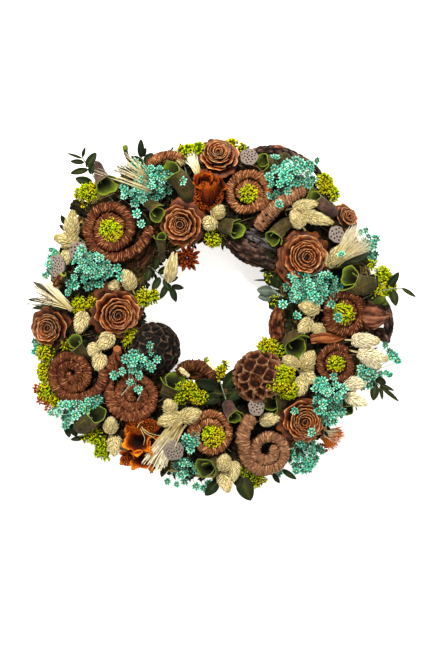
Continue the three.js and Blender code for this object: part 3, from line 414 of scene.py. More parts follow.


# %% [markdown]
# ## Ribbed coils
# Each coil is a thick rind of palm with cross ribs, wound in a flat spiral, with loose fibres
# along its edges. A bevelled curve would give a smooth hose, and sculpting ribs takes hours.
# So the tube's radius itself rises and falls with the length s: a rib is
# |sin(pi s / pitch)|^0.8, with a pitch of 1.5 to 2 mm, and each rib gets its own size.
# The rind is matt. Its deep grooves are painted nearly black, as shade, and its rib tops pale,
# partly the rind's own tone and partly painted light; the underside of the tube is painted dark
# as shade too. So the ramp runs from black brown to tan, and patches of 10 to 18 mm keep the
# colour from being even.

# %%
# Five kinds of rind
RIND_GRAIN = (0.8, 0.35)
RIND = dried("palm_rind", [(0, "#180a04"), (0.4, "#61361c"), (0.75, "#98623c"), (1, "#cfa274")],
             [(0, "#180b05"), (0.4, "#562e18"), (0.75, "#8a5432"), (1, "#c0905f")],
             patch=18, grain=RIND_GRAIN, bump=(0.45, 0.4))
RIND_RED = dried("red_palm_rind", [(0, "#0e0402"), (0.4, "#401a0b"), (0.75, "#6c3a22"), (1, "#b07c54")],
                 [(0, "#120602"), (0.4, "#48220f"), (0.75, "#744426"), (1, "#ac7a50")],
                 patch=18, grain=RIND_GRAIN, bump=(0.45, 0.4))
RIND_MID = dried("brown_palm_rind", [(0, "#160804"), (0.4, "#4c2513"), (0.75, "#784429"), (1, "#ac7850")],
                 patch=14, grain=(0.8, 0.45), bump=(0.45, 0.45))
RIND_DARK = dried("dark_palm_rind", [(0, "#120703"), (0.5, "#40220f"), (1, "#7c4e2e")],
                  grain=(0.8, 0.3), bump=(0.5, 0.3))
RIND_PALE = dried("pale_palm_rind", [(0, "#22120a"), (0.4, "#70492f"), (0.75, "#9c7050"), (1, "#c29a74")],
                  [(0, "#22120a"), (0.4, "#623f2b"), (0.75, "#8c6246"), (1, "#b68c68")],
                  patch=10, grain=(0.8, 0.5), bump=(0.45, 0.5))
print("rind", len(bpy.data.materials), "materials")

# %%
# One length of ribbed rind


def noise_at(x, y, z, seed):
    """Noise with cubes of side one, at three arrays that are broadcast to one shape."""
    return noise(stack(x, y, z), 1.0, seed)


def ribbed(heap, path, up, thick, pitch=1.9, depth=0.2, sides=18, seed=0, soft=0.0, stout=0.0):
    """A ribbed rind along a path. Its section is a superellipse |x|^n + |y|^n = 1. The radius is
    thick (1.02 - depth (1 - rib)) and chance terms; soft flattens the contrast of the ribs, and
    the first part is wider by the share stout, which fades out halfway along. The grooves between
    the ribs and the lower sides of the tube are painted dark, as shade."""
    box, blunt, edge_hairs = 2.3, 5.0, 0.9  # power n, mm over which an end closes, hairs a mm
    side, over = around(path[None], up)
    side, over = side[0], over[0]
    step = np.linalg.norm(np.diff(path, axis=0), axis=1)
    s = np.concatenate([[0], np.cumsum(step)])
    along = s[:, None]
    thick = thick * (1 + stout * np.clip(1.6 - 3.2 * s / s[-1], 0, 1))[:, None]
    turn = 2 * np.pi * np.arange(sides) / sides
    c, v = np.cos(turn), np.sin(turn)
    reach = (np.abs(c) ** box + np.abs(v) ** box) ** (-1 / box)
    wander = noise_at(s / 4, s * 0, s * 0, seed)[:, None] * 1.6
    lag = 0.7 * c[None] + 0.5 * noise_at(along / 6, c[None] * 1.5, v[None] * 1.5, seed + 1)
    phase = along / pitch + wander + lag
    rib = np.abs(np.sin(np.pi * phase)) ** 0.8
    which = np.floor(phase)
    chance = noise_at(which * 7.3, turn * 1.2, which * 0, seed + 2)
    fuzz = noise_at(along * 1.3, 1.3 * thick * c[None], 1.3 * thick * v[None], seed + 3)
    tooth = 0.34 * (chance - 0.55) * np.abs(c[None]) ** 3
    swell = 1.02 - depth * (1 - rib) - 0.14 * (1 - chance) * rib + 0.16 * (fuzz - 0.5) + tooth * rib
    ends = np.minimum(np.minimum(s, s[-1] - s) / blunt, 1.0)
    ends = np.sqrt(1 - (1 - ends) ** 2 * 0.8)[:, None]
    r = thick * reach[None] * swell * ends
    points = path[:, None] + side[:, None] * (r * c)[..., None]
    points = points + over[:, None] * (r / (1 + stout) * v)[..., None]
    # Painted shade: the sides and underside of the tube are darkened, away from the light, and so are the
    # grooves between the ribs; the rib tops stay pale, partly their own tone and partly painted light, and
    # chance gives each rib its own tone.
    painted_side_shade = np.clip((v + 0.25) / 0.85, 0.12, 1)[None]
    mark = 0.06 + 0.24 * soft + (0.86 - 0.36 * soft) * rib * (0.58 + 0.5 * chance)
    shade = np.clip((mark + (0.75 + 0.3 * soft) * (fuzz - 0.5)) * painted_side_shade, 0, 1)
    heap.grid(points, shade, chance[None], True, 0, path[:1], path[-1:])
    hairs = int(edge_hairs * s[-1])
    row, column = rng.integers(4, len(s) - 4, hairs), rng.integers(1, sides // 2, hairs)
    base = points[row, column]
    out = unit(base - path[row])
    way = out + rng.normal(0, 0.75, (hairs, 3))
    blades(heap, base - out, way, [0.1, 0.2, 1], rng.uniform(1.8, 3.4, hairs), 0.22, 0.2, 0.1, 1, 0.6,
           rng.uniform(0, 1, hairs), 0, (0.5, 1.0))


# %% [markdown]
# Three kinds of coil lie on the wreath: full ones that close to a knot, open ones round a bowl
# of moss, and one that starts as a long loose arm. All are one list of (angle, radius) knots:
# first the arm, read from the picture, then the turns, whose radius falls evenly or, round
# moss, in one smooth step.

# %%
# The eight coils
COILS = {
    # centre and height, first angle and radius, turns, last radius, way round, thickness,
    # bowl depth, moss radius, rib pitch and depth, softness, stoutness, rind
    "coil_top_left": [110, 228, 48.3, 0, 20.6, 0, 11.5, -1, 5.5, 4, 12.5, 2.0, 0.2, 0, 0, RIND_RED],
    "coil_top": [249, 193.5, 48.3, -60, 19.4, 1.75, 9.8, 1, 5.0, 3, 8.5, 2.0, 0.2, 0, 0, RIND],
    "coil_right": [343, 313, 48.8, 190, 19.0, 1.8, 10.2, 1, 4.9, 3, 10.5, 2.0, 0.2, 0, 0, RIND_RED],
    "coil_right_low": [335.5, 363, 47.4, 40, 16.4, 1.9, 8.4, 1, 4.0, 3, 8.5, 1.5, 0.14, 0, 0, RIND_RED],
    "coil_bottom": [267, 450, 50.0, 168, 23.2, 1.7, 5.0, 1, 5.9, -2, 0, 1.5, 0.14, 1.0, 0.26, RIND_PALE],
    "coil_bottom_left": [210, 432.5, 47.5, 200, 19.2, 1.6, 11.0, -1, 4.3, 2, 11.5, 2.0, 0.2, 0, 0, RIND],
    "coil_left": [71, 374.5, 45.4, -85, 23.6, 2.45, 1.2, -1, 5.0, 2, 0, 1.5, 0.14, 0.3, 0.12, RIND_RED],
    "coil_low_left": [134, 395, 48.9, 178, 24.2, 2.35, 1.5, 1, 5.2, 2, 0, 1.5, 0.14, 0.7, 0.22, RIND_MID],
}
ARMS = {
    # knots before the turns: angle in degrees and radius
    "coil_top_left": [
      [2, 40], [-16, 38.5], [-45, 34], [-75, 31], [-100, 29], [-125, 26], [-150, 23.2], [-180, 21.6],
      [-225, 21.4], [-270, 21.4], [-315, 21.4], [-360, 21.3], [-405, 20.6], [-440, 19.6], [-470, 17.6],
      [-500, 14.8], [-530, 12.6], [-560, 11.8], [-620, 11.4], [-700, 11.2], [-780, 11.2], [-850, 11.2]],
    "coil_bottom": [[112, 40], [128, 34], [148, 29]],
    "coil_left": [[12, 36.5], [-6, 35], [-24, 32], [-50, 27.5]],
    "coil_low_left": [[112, 43], [126, 37.5], [148, 30.5]],
}
KNOTS_A_TURN = 10
EYES = []

for k, (name, row) in enumerate(COILS.items()):
    x, y, z, a0, r0, turns, r1, way, thick, bowl, moss, pitch, depth, soft, stout, rind = row
    knots = [[math.radians(a), r] for a, r in ARMS.get(name, [])]
    steps = int(turns * KNOTS_A_TURN)
    for i in range(steps + 1 if turns else 0):
        f = i / steps
        fall = f
        if moss:
            fall = np.clip((turns * f - 0.72) / 0.55, 0, 1)
            fall = fall * fall * (3 - 2 * fall)
        if name == "coil_left":  # its turns stand closer on one side
            uneven = 0.14 * math.sin(2 * np.pi * turns * f)
            fall = (turns * f + uneven) / (turns + 0.14 * math.sin(2 * np.pi * turns))
        knots.append([math.radians(a0) + way * 2 * np.pi * turns * f, r0 + (r1 - r0) * fall])
    angle, reach = np.array(knots).T
    sag = -bowl * np.clip((r0 - reach) / (r0 - r1), 0, 1)
    place = frame_over(x, y, z)
    path = put(spline(np.stack([reach * np.cos(angle), reach * np.sin(angle), sag], 1), 0.5), place)
    heap = Heap()
    ribbed(heap, path, place[1][2], thick, pitch, depth, seed=k * 9, soft=soft, stout=stout)
    piece(heap, name + "_look", [rind], [name], "ribbed_rind")
    if moss:
        EYES.append([x, y, z + thick - bowl - 1.5, moss, place])
tell("coil")

# %% [markdown]
# Two bent lengths of the same rind lie between the coils. The upper one ends in a cut with
# three dark pores, which are short dark tubes set into its end.

# %%
# The bent lengths of rind
CURLS = (
    # node, thickness, softness, path as pixels and height, rind
    ("curl_top", 7.6, 0.8, [[303, 189, 47], [291, 197, 52.5], [278, 206, 54.5], [267, 217, 52],
                            [258, 229, 46.5]], RIND_PALE),
    ("curl_inner_low", 6.4, 0.0, [[179, 375, 46], [184, 367, 47], [196, 365, 48], [207, 369, 47],
                                  [215, 378, 46]], RIND_DARK),
)
PORES = px([266, 263, 270], [216, 222, 221], [59.0, 57.0, 57.0])

for k, (name, thick, soft, way, rind) in enumerate(CURLS):
    heap = Heap()
    ribbed(heap, spline(px(*np.array(way).T), 0.5), UP, thick, seed=90 + k, soft=soft)
    if name == "curl_top":
        for pore in PORES:
            tubes(heap, [pore - [0, 0, 3], pore + [0, 0, 0.6]], [1.8, 1.2], 8, 0.0)
    piece(heap, name + "_look", [rind], [name], "ribbed_rind")
tell("curl")

# %% [markdown]
# ## Cedar roses
# A cedar rose is the open top of a cone: thin woody scales set by the golden angle, upright
# and edge-on in the middle, wide and leaning outwards at the rim. Instances of one modelled
# scale would all be alike, so every scale is worked out with its own lean, height and wave. It
# is a sheet bent round the axis, and its loop across the thickness runs up the inside
# and down the outside, so the pale broken rim comes out as a thin bright line.
# The scales are a little waxy: lower roughness and more shine give soft lights on the curves.
# Each scale is painted near black at its foot, where the scales shade each other, and the wide
# outer scales are painted lighter, as lit.

# %%
# The woody and the orange finish
ROSE = dried("cedar_scale",
             [(0, "#0a0301"), (0.35, "#461803"), (0.7, "#843c0c"), (0.88, "#a05a1c"), (1, "#c89868")],
             [(0, "#0a0301"), (0.35, "#3c1605"), (0.7, "#6e3814"), (0.88, "#8e5626"), (1, "#c49c74")],
             patch=9, rough=0.5, grain=(1.2, 0.3), bump=(0.8, 0.2), shine=0.3, spread=(0.6, 1.26))
ORANGE = dried("orange_petal", [(0, "#100401"), (0.4, "#5c1c02"), (0.75, "#a84804"), (1, "#e48c10")],
               [(0, "#120602"), (0.4, "#401604"), (0.75, "#7c3004"), (1, "#b8600c")],
               patch=8, grain=(0.8, 0.4), bump=(0.5, 0.4))

# %%
# One rose


def rose(heap, place, r, smooth, seed):
    """Scale i of n stands at the golden angle times i, at radius r (0.03 + 0.55 f^0.85) with
    f = i/n. The outer share smooth of the scales is larger, flatter and leans outwards."""
    draw = np.random.default_rng(seed)
    n = int(13 + 0.62 * r)
    f = ((np.arange(n) + 0.6) / n)[:, None, None]
    big = np.clip((f - (1 - smooth)) / smooth, 0, 1)
    lean = np.radians(6 + 30 * f + 40 * big + draw.uniform(-6, 6, (n, 1, 1)))
    tall = r * (0.31 + 0.15 * f + 0.13 * big) * draw.uniform(0.8, 1.16, (n, 1, 1))
    base = r * (0.03 + 0.55 * f**0.85) * draw.uniform(0.93, 1.06, (n, 1, 1))
    foot = r * (0.52 - 0.18 * f - 0.42 * big)
    half = np.radians(80 - 16 * f - 12 * big) * draw.uniform(0.8, 1.15, (n, 1, 1))
    thick = 0.7 + 0.7 * f + 0.3 * big
    u = np.linspace(-1, 1, 17)[None, None, :]
    up_loop = np.array([0, 0.45, 0.8, 0.97, 1.0, 0.97, 0.8, 0.45, 0])[None, :, None]
    out_loop = np.array([0, 0, 0, 0.1, 0.5, 0.9, 1, 1, 1])[None, :, None]
    wave = 0.1 * np.sin(3 * np.pi * u + 9 * f) * f + draw.uniform(-0.08, 0.08, (n, 1, 17))
    v = up_loop * (1 - 0.24 * np.abs(u) ** 2.4 + wave)
    tilt = lean * (0.75 + 0.5 * v)
    radius = base + tall * v * np.sin(tilt) + thick * (out_loop - 0.5) + 0.7 * np.abs(u) ** 3 * (1 - big)
    height = foot + tall * v * np.cos(tilt) - 0.10 * r * u**2 * v * (0.3 + big)
    turn = np.arange(n)[:, None, None] * GOLDEN + u * half * (1 - 0.12 * big * v**3)
    points = stack(radius * np.cos(turn), radius * np.sin(turn), height)
    # Painted shade: each scale is near black at its foot and lighter up its height, and the big outer scales
    # get more painted light. The pale rim is the broken wood's own tone.
    rim = np.clip((up_loop * (1 + 0 * u) - 0.86) / 0.14, 0, 1) ** 2
    grain = 0.16 * (noise(points, 1.3, seed) - 0.5) + 0.1 * np.sin(14 * u + 5 * f + seed)
    shade = 0.03 + 0.5 * v**1.6 + 0.5 * rim * (1 - 0.45 * big) + 0.22 * big * v + grain
    heap.grid(put(points, place), np.clip(shade, 0, 1), draw.uniform(0, 1, n), False, 0)
    # The core under the scales is painted dark, as shade.
    t = np.linspace(0, 1, 9)[:, None]
    a = np.linspace(0, 2 * np.pi, 24, endpoint=False)[None]
    wide = 0.62 * r * np.sin(t * 1.5)
    core = stack(wide * np.cos(a), wide * np.sin(a), 0.06 * r + 0.6 * r * np.cos(t * 1.5))
    top, bottom = put([[0, 0, 0.66 * r]], place), put([[0, 0, 0]], place)
    heap.grid(put(core[1:], place), 0.1, 0.3, True, 0, top, bottom)


def orange_star(heap, place, n=34):
    """A small bloom: n pointed petals in a golden spiral, the outer ones longer and flatter."""
    a = np.arange(n) * GOLDEN
    ring = (np.arange(n) + 1.0) / n
    way = stack(np.cos(a), np.sin(a), 1.1 - 1.1 * ring)
    base = put(stack(3 * ring * np.cos(a), 3 * ring * np.sin(a), 2.0), place)
    blades(heap, base, way @ place[1], place[1][2], 6.5 + 7 * ring, 2.1, 0.9, 0.15, 4, 0.5,
           rng.uniform(0, 1, n), 1, (0.0, 0.72))


# %%
# The seven roses
ROSES = [
    # node, centre, height of the base, radius, tilt, share of smooth outer scales
    ["rose_top", 218, 159, 37.5, 22, [0.05, 0.45], 0.34],
    ["rose_upper_left", 181, 224, 42.1, 23.5, [-0.05, -0.1], 0.26],
    ["rose_upper_right", 303, 258, 43.9, 26.5, [0.16, 0.02], 0.55],
    ["rose_right_edge", 343, 220, 32.3, 16.5, [0.7, 0.45], 0.3],
    ["rose_left", 116, 313, 42.0, 25.5, [0.2, -0.15], 0.36],
    ["rose_left_edge", 52, 327, 33.9, 21, [-0.35, -0.1], 0.3],
    ["rose_low_right", 302, 419, 42.1, 24.5, [0.12, -0.1], 0.34],
]
for k, (name, x, y, z, r, tilt, smooth) in enumerate(ROSES):
    heap = Heap()
    rose(heap, frame_over(x, y, z, tilt), r, smooth, 40 + k)
    if name == "rose_upper_left":
        orange_star(heap, frame_over(187, 257, 42, [0.05, -0.25]))
    piece(heap, name + "_look", [ROSE, ORANGE], [name], "cedar_rose")
tell("rose")

# %% [markdown]
# ## Large lotus pods
# Both are domes with a net of rims round sunken cells. A picture of the net could be laid over
# a ball, but then the cells would not catch the light. So the dome itself sinks: seeds are
# set on it by the golden angle, every point takes its nearest and second nearest seed, and
# where the two distances are alike there is a rim. The sunken cells are also painted darker
# than the rims, as shade. One is reddish, the other almost black and a little smoother, with
# smaller cells.

# %%
# The domes with their nets
NET = dried("lotus_net", [(0, "#200c05"), (0.25, "#5a2c17"), (0.6, "#70492e"), (1, "#96745a")],
            grain=(0.9, 0.5), bump=(0.6, 0.7))
NET_DARK = dried("dark_lotus_net", [(0, "#050302"), (0.4, "#1a110c"), (0.8, "#3c2c21"), (1, "#584636")],
                 grain=(0.8, 0.3), bump=(0.5, 0.3), rough=0.6)
DOMES = [
    # node, centre, height of the base, radius, height, tilt, cells, depth, rim width, finish
    ["lotus_large_low", 259, 376, 51, 27.5, 21, [-0.25, 0.4], 50, 4.0, 2.8, NET],
    ["lotus_large_left", 154, 349, 40, 27.5, 22, [0.36, 0.24], 120, 1.9, 1.9, NET_DARK],
]
REACH = 0.62 * np.pi  # the angle from the top of a dome to its lower edge


def dome_point(lift, turn, r, high):
    """The egg r sin(lift) (cos turn, sin turn), high cos(lift)."""
    return stack(r * np.sin(lift) * np.cos(turn), r * np.sin(lift) * np.sin(turn), high * np.cos(lift))


for k, (name, x, y, z, r, high, tilt, cells, deep, rim, stain) in enumerate(DOMES):
    v = np.linspace(0, 1, 66)[1:, None]
    a = np.linspace(0, 2 * np.pi, 144, endpoint=False)[None]
    dome = dome_point(REACH * v, a, r, high)
    number = np.arange(cells)
    seed_lift = REACH * np.sqrt((number + 0.4) / cells)
    seeds = dome_point(seed_lift, number * GOLDEN + 0.35 * np.sin(number * 5.1), r, high)
    bent = dome + 3.0 * np.stack([noise(dome, 7.0, 3), noise(dome, 7.0, 4), noise(dome, 7.0, 6)], -1)
    gap = np.sort(np.linalg.norm(bent[:, :, None] - seeds - 1.5, axis=-1), axis=-1)[..., :2]
    border = gap[..., 1] - gap[..., 0] + 3.0 * (noise(dome, 2.6, k) - 0.5)
    sunk = np.clip(border / rim, 0, 1) ** 1.2
    out = unit(dome * [1, 1, (r / high) ** 2])
    bumps = 0.5 * (noise(dome, 1.1, 5 + k) - 0.5)
    dome = dome - out * (deep * sunk - bumps)[..., None]
    patchy = noise(dome, 9.0, 21) - 0.5
    # Painted shade: the deeper a point sinks into its cell, the darker it is drawn; the patches and the fine
    # noise are the pod's own tone.
    shade = 0.95 - sunk * (0.95 - 0.5 * patchy) + 0.55 * (noise(dome, 1.6, 9) - 0.5)
    heap = Heap()
    place = frame_over(x, y, z, tilt)
    top, bottom = put([[0, 0, high - 0.5]], place), put([[0, 0, high * math.cos(REACH)]], place)
    heap.grid(put(dome, place), np.clip(shade, 0, 1), 0.5, True, 0, top, bottom)
    piece(heap, name + "_look", [stain], [name], "lotus_pod")
tell("lotus_large")

# %% [markdown]
# ## Small lotus pods
# A grey, chalky cone with a flat face full of round pits. Cutting the pits with booleans
# would leave sharp rims, and the real ones are soft. So the face sinks near a pit by a
# smooth bell, exp(-(d / w)^4), it is painted dark there as the shade inside the pit, and a low
# lip stands round it. The stalk under the face is painted darker downwards, as shade.

# %%
# The small pods
LOTUS = dried("grey_lotus", [(0, "#0c0806"), (0.4, "#4c423c"), (0.8, "#80746c"), (1, "#aca298")],
              grain=(0.8, 0.22))
SMALL_LOTUS = {
    # face centre, height of the face, radius, tilt, length, pits, stretch of the face
    "lotus_small_top": [[249, 157, 51.5, 8.8, [0.05, 0.35], 14, 20, 1.0],
                        [336, 235, 59.5, 8.3, [0.4, 0.12], 17, 12, 1.0]],
    "lotus_small_left": [[57, 266, 56.5, 9.8, [-0.6, 0.05], 17, 26, 1.1],
                         [79, 252, 57.3, 9.0, [-0.1, 0.2], 14, 16, 1.1]],
    "lotus_small_bottom": [[174, 450, 54.5, 9.8, [0, -0.2], 11, 26, 1.0],
                           [256, 406, 59.5, 7.8, [0, 0.05], 15, 15, 1.15]],
}
FACE_ROWS = 26


def small_lotus(heap, place, r, long, pits, tall, seed):
    """A cone whose face is pitted. Rings run from the middle of the face to its rim and then
    down the stalk. Pit i of n lies at radius 0.86 r sqrt(i/n) and the golden angle times i."""
    t = np.concatenate([np.linspace(0.06, 1, FACE_ROWS), [1.02, 1.0, 0.93, 0.8, 0.62, 0.42, 0.3]])
    z = np.concatenate([np.zeros(FACE_ROWS), [-0.6, -1.6, -3.4, -6, -9, -12.5, -long]])[:, None]
    a = np.linspace(0, 2 * np.pi, 56, endpoint=False)
    on_face = (np.arange(len(t)) < FACE_ROWS)[:, None]
    ridge = np.where(np.arange(len(t)) > FACE_ROWS + 1, 1, 0)[:, None] * 0.35 * np.sin(16 * a)[None]
    wobble = 1 + 0.035 * np.sin(5 * a + seed) + 0.025 * np.sin(9 * a)
    rr = t[:, None] * r * wobble + ridge
    face = stack(rr * np.cos(a), tall * rr * np.sin(a), z)
    n = np.arange(pits)
    reach = 0.86 * r * np.sqrt((n + 0.3) / pits)
    spots = np.stack([reach * np.cos(n * GOLDEN + seed), tall * reach * np.sin(n * GOLDEN + seed)], 1)
    d = np.min(np.linalg.norm(face[:, :, None, :2] - spots, axis=-1), axis=-1)
    wide = 0.42 * r / math.sqrt(pits)
    pit = np.exp(-((d / wide) ** 4)) * on_face
    lip = np.exp(-(((d - 1.5 * wide) / (0.5 * wide)) ** 2)) * on_face
    face[..., 2] += 0.3 * lip - 0.9 * pit - 0.6 * (t[:, None] ** 4) * on_face
    # Painted shade: dark in the pits and darker down the stalk under the face; the lip and the ridges are a
    # little paler.
    down = np.clip(-z / long, 0, 1)
    shade = np.clip(0.76 + 0.1 * lip - 0.75 * pit - 0.5 * down + 0.1 * ridge, 0, 1)
    top, bottom = put([[0, 0, 0.0]], place), put([[0, 0, -long - 0.5]], place)
    heap.grid(put(face, place), shade, 0.5 + 0.1 * seed % 0.4, True, 0, top, bottom)


count = 0
for name, rows in SMALL_LOTUS.items():
    heap = Heap()
    for x, y, z, r, tilt, long, pits, tall in rows:
        small_lotus(heap, frame_over(x, y, z, tilt), r, long, pits, tall, count + 1.3)
        count += 1
    piece(heap, name + "_look", [LOTUS], [name], "lotus_pod")
tell("lotus_small")

# %% [markdown]
# ## Rolled leaves
# A felted leaf curled to a cornet. A cloth simulation could curl a leaf, but a formula keeps
# each one on its place. Going once and a bit round the roll, the reach grows slowly, as in a
# spiral, so the seam shows. The sheet is one millimetre thick and flares at its mouth.
# The outside is matt olive or brown with a felt's faint sheen, and the rim and the inside are
# lime green. The inside is painted dark deep in the roll and bright lime near the mouth, painted
# shade and light, so the mouths stand out against the dark.

# %%
# The rolls' finishes and places
LEAF = dried("rolled_leaf", [(0, "#161406"), (0.5, "#38340f"), (0.78, "#5a5622"), (1, "#a2b52c")],
             [(0, "#1c160c"), (0.5, "#48391c"), (0.78, "#625030"), (1, "#8fa42c")],
             patch=9, grain=(2.0, 0.5), bump=(2.0, 1.0), sheen=0.1)
LEAF_INSIDE = dried("leaf_inside", [(0, "#0a0b02"), (0.4, "#2e3608"), (0.75, "#5c6c14"), (1, "#8ea028")],
                    grain=(0.8, 0.35), sheen=0.1)
LEAF_PURPLE = dried("purple_leaf", [(0, "#160c0a"), (0.5, "#4c342c"), (0.8, "#70584a"), (1, "#9a8a50")],
                    grain=(2.0, 0.45), bump=(2.0, 0.9), sheen=0.15)
GREEN_SKIN, PURPLE_SKIN = 0, 2
ROLLS = {
    # tail and mouth as pixel and height, mouth and tail radius, seam angle, squeeze, opening
    # angle and, where they differ, the skin and the painted light of the inside
    "leaf_rolls_top_left": [
      [98, 166, 46, 109, 189, 56, 12.5, 4.5, 205, 0.7, 330, PURPLE_SKIN, 1.2],
      [147, 204, 54, 160, 216, 61, 9, 5, 150, 0.8, 320],
      [163, 257, 50, 161, 236, 56, 6, 3, 200, 0.8, 300],
      [190, 196, 48, 168, 170, 55, 13, 10, 250, 0.85, 330]],
    "leaf_rolls_top": [
      [286, 157, 38, 262, 161, 45, 8.6, 7, 205, 0.8, 330],
      [218, 224, 43, 239, 231, 53, 9.4, 6.5, 165, 0.85, 345, GREEN_SKIN, 1.4],
      [288, 222, 48, 272, 241, 57, 9, 6.5, 160, 0.75, 330]],
    "leaf_rolls_right": [
      [371, 285, 46, 346, 277, 57, 11.6, 9.4, 200, 0.72, 345],
      [333, 212, 48, 312, 197, 53, 8.6, 6.5, 320, 0.7, 345, PURPLE_SKIN]],
    "leaf_rolls_low_right": [
      [290, 336, 46, 298, 348, 54, 13, 10.5, 160, 0.7, 330],
      [346, 394, 38, 349, 411, 43, 7.8, 6.5, 200, 0.75, 330],
      [284, 402, 47, 269, 403, 54, 11, 7, 160, 0.55, 300]],
    "leaf_rolls_bottom": [
      [227, 404, 46, 236, 418, 55, 7.6, 6, 200, 0.8, 330, PURPLE_SKIN],
      [218, 462, 42, 204, 469, 54, 10.8, 8.5, 160, 0.8, 345],
      [168, 396, 42, 174, 378, 51, 12, 8.5, 150, 0.6, 300]],
    "leaf_rolls_left": [
      [80, 428, 44, 98, 411, 55, 11, 8.5, 200, 0.85, 300, GREEN_SKIN, 0.4],
      [90, 356, 46, 75, 341, 57, 8.6, 4, 160, 0.8, 320]],
}

# %%
# One roll, and all of them


def roll(heap, a, b, seed, mouth, tail, seam, squeeze, opens, skin_slot=GREEN_SKIN, inside_painted_light=0.9):
    """At t along the line from a to b and at turn f of the opening, the reach is
    size(t) (0.42 + 0.68 f), with size running from the tail to the mouth and a wavy lip at
    the end, times a noise that crumples it. bite cuts the mouth off at a slant."""
    t = np.linspace(-0.22, 1, 20)[:, None]
    f = np.linspace(0, 1, 50)[None]
    along = unit(b - a)
    side = unit(np.cross(along, [0, 0, 1.0]))
    over = np.cross(side, along)
    tt = np.clip(t, 0, 1)
    turn = math.radians(seam) + math.radians(opens + 200) * (f - 1)
    lobes = 1 + 0.5 * np.sin(2 * turn + seed) + 0.3 * np.sin(3.1 * turn + 2 * seed)
    size = tail + (mouth - tail) * tt**1.2 + 0.13 * mouth * lobes * np.clip((t - 0.75) / 0.25, 0, 1) ** 2
    size = size * np.sqrt(np.clip((t + 0.225) / 0.225, 0.0, 1))
    spot = stack(t * 2.2, np.cos(turn), np.sin(turn)) + seed * 3
    crumple = 1 + 0.24 * (noise(spot, 1.1) - 0.5) + 0.1 * (noise(spot, 0.3) - 0.5)
    reach = size * (0.42 + 0.68 * f) * crumple
    slant = 0.1 * np.sin(2 * turn + seed) + 0.06 * np.sin(5 * turn) - 0.5 * np.sin(turn) - 0.35 * (1 - f)
    bite = mouth * tt**3 * slant
    bow = 0.1 * np.linalg.norm(b - a) * math.sin(2.1 * seed) * np.sin(np.pi * tt)
    middle = a + (b - a) * t[..., None] + along * bite[..., None] + side * (bow + 0 * f)[..., None]

    def skin(inset):
        r = np.maximum(reach - inset, 0.25)[..., None]
        right, up = np.cos(turn)[..., None], np.sin(turn)[..., None]
        return middle + side * (r * right) + over * (squeeze * r * up)

    top, bottom = skin(0), skin(1.2 - 0.3 * tt)
    lip = np.clip((t - 0.955) / 0.045, 0, 1) + 0 * f
    hem = np.clip(1 - np.minimum(f, 1 - f) / 0.05, 0, 1) * (t > 0.2)
    vein = 0.12 * np.abs(np.sin(9 * turn + 2 * t)) ** 6
    cloudy = noise(top, 4, seed) - 0.5
    outside = 0.34 + 0.3 * tt - vein + 0.3 * np.maximum(lip, 0.7 * hem) + 0.45 * cloudy
    # Painted shade and light: the inside is dark deep in the roll and lime only near the mouth, scaled by the
    # brightness given for each roll.
    inside = np.clip(inside_painted_light * (0.7 * tt**4.5 + 0.14 * lip) + 0.35 * cloudy, 0, 1)
    chance = (0.37 * seed) % 1
    heap.grid(top, np.clip(outside, 0, 1), chance, False, skin_slot)
    heap.grid(bottom[:, ::-1], inside[:, ::-1], chance, False, 1)
    rim = np.stack([top[-1], 0.5 * (top[-1] + bottom[-1]) + 0.5 * along, bottom[-1]])
    heap.grid(rim, 0.84, chance, False, 1)
    for column in (0, -1):
        heap.grid(np.stack([top[:, column], bottom[:, column]]), 0.6, chance, False, 1)


count = 0
for name, rows in ROLLS.items():
    heap = Heap()
    for x0, y0, z0, x1, y1, z1, *rest in rows:
        count += 1
        roll(heap, px(x0, y0, z0), px(x1, y1, z1), count, *rest)
    piece(heap, name + "_look", [LEAF, LEAF_INSIDE, LEAF_PURPLE], [name], "rolled_leaf")
tell("rolls")

# %% [markdown]
# ## Cream grass heads
# A canary-grass head is an egg of overlapping husks. A particle system could scatter husks
# over an egg, but it needs live settings that an export loses. So husk i of n stands at the
# share i/n along the egg and at the golden angle times i round it, and it leans from square
# to the axis at the stem to along the axis at the tip.
# Husks are papery: brown where they overlap, nearly white at their points, with hardly any
# grain. The heads that catch most light, at the right, get a whiter husk, which is painted light.

# %%
# Papery and strawy finishes
CREAM = dried("cream_husk", [(0, "#5c4a20"), (0.35, "#b09a5c"), (0.75, "#e0d09a"), (1, "#fcf4d8")],
              [(0, "#544c20"), (0.35, "#a8985c"), (0.75, "#d4c894"), (1, "#f6eed0")],
              patch=8, grain=(0.7, 0.14), bump=(0.4, 0.1), spread=(0.58, 1.36))
# The same husk painted lighter, for the heads that catch most light.
HUSK_LIT = dried("lit_husk", [(0, "#6a5c34"), (0.35, "#c2b484"), (0.75, "#f0e6c6"), (1, "#fffaf0")],
                  grain=(0.7, 0.14), bump=(0.4, 0.1), spread=(0.58, 1.36))
STRAW = dried("bleached_grass", [(0, "#8a7a4a"), (0.5, "#cfc08a"), (1, "#f2ead0")], grain=(0.8, 0.2))
WHEAT = dried("wheat_straw", [(0, "#7a6434"), (0.4, "#c4ae78"), (1, "#f8f0d8")],
              [(0, "#4a3c1c"), (0.4, "#9c8850"), (1, "#e6dab4")],
              patch=5, grain=(0.8, 0.3), spread=(0.5, 1.3))
GREY_GRASS = dried("grey_grass", [(0, "#14180c"), (0.5, "#363c26"), (1, "#767458")], grain=(0.8, 0.25))
GRASS = [CREAM, STRAW, GREY_GRASS, WHEAT, HUSK_LIT]
HUSK_SLOT, STRAW_SLOT, GREY_SLOT, WHEAT_SLOT, LIT_HUSK_SLOT = range(5)

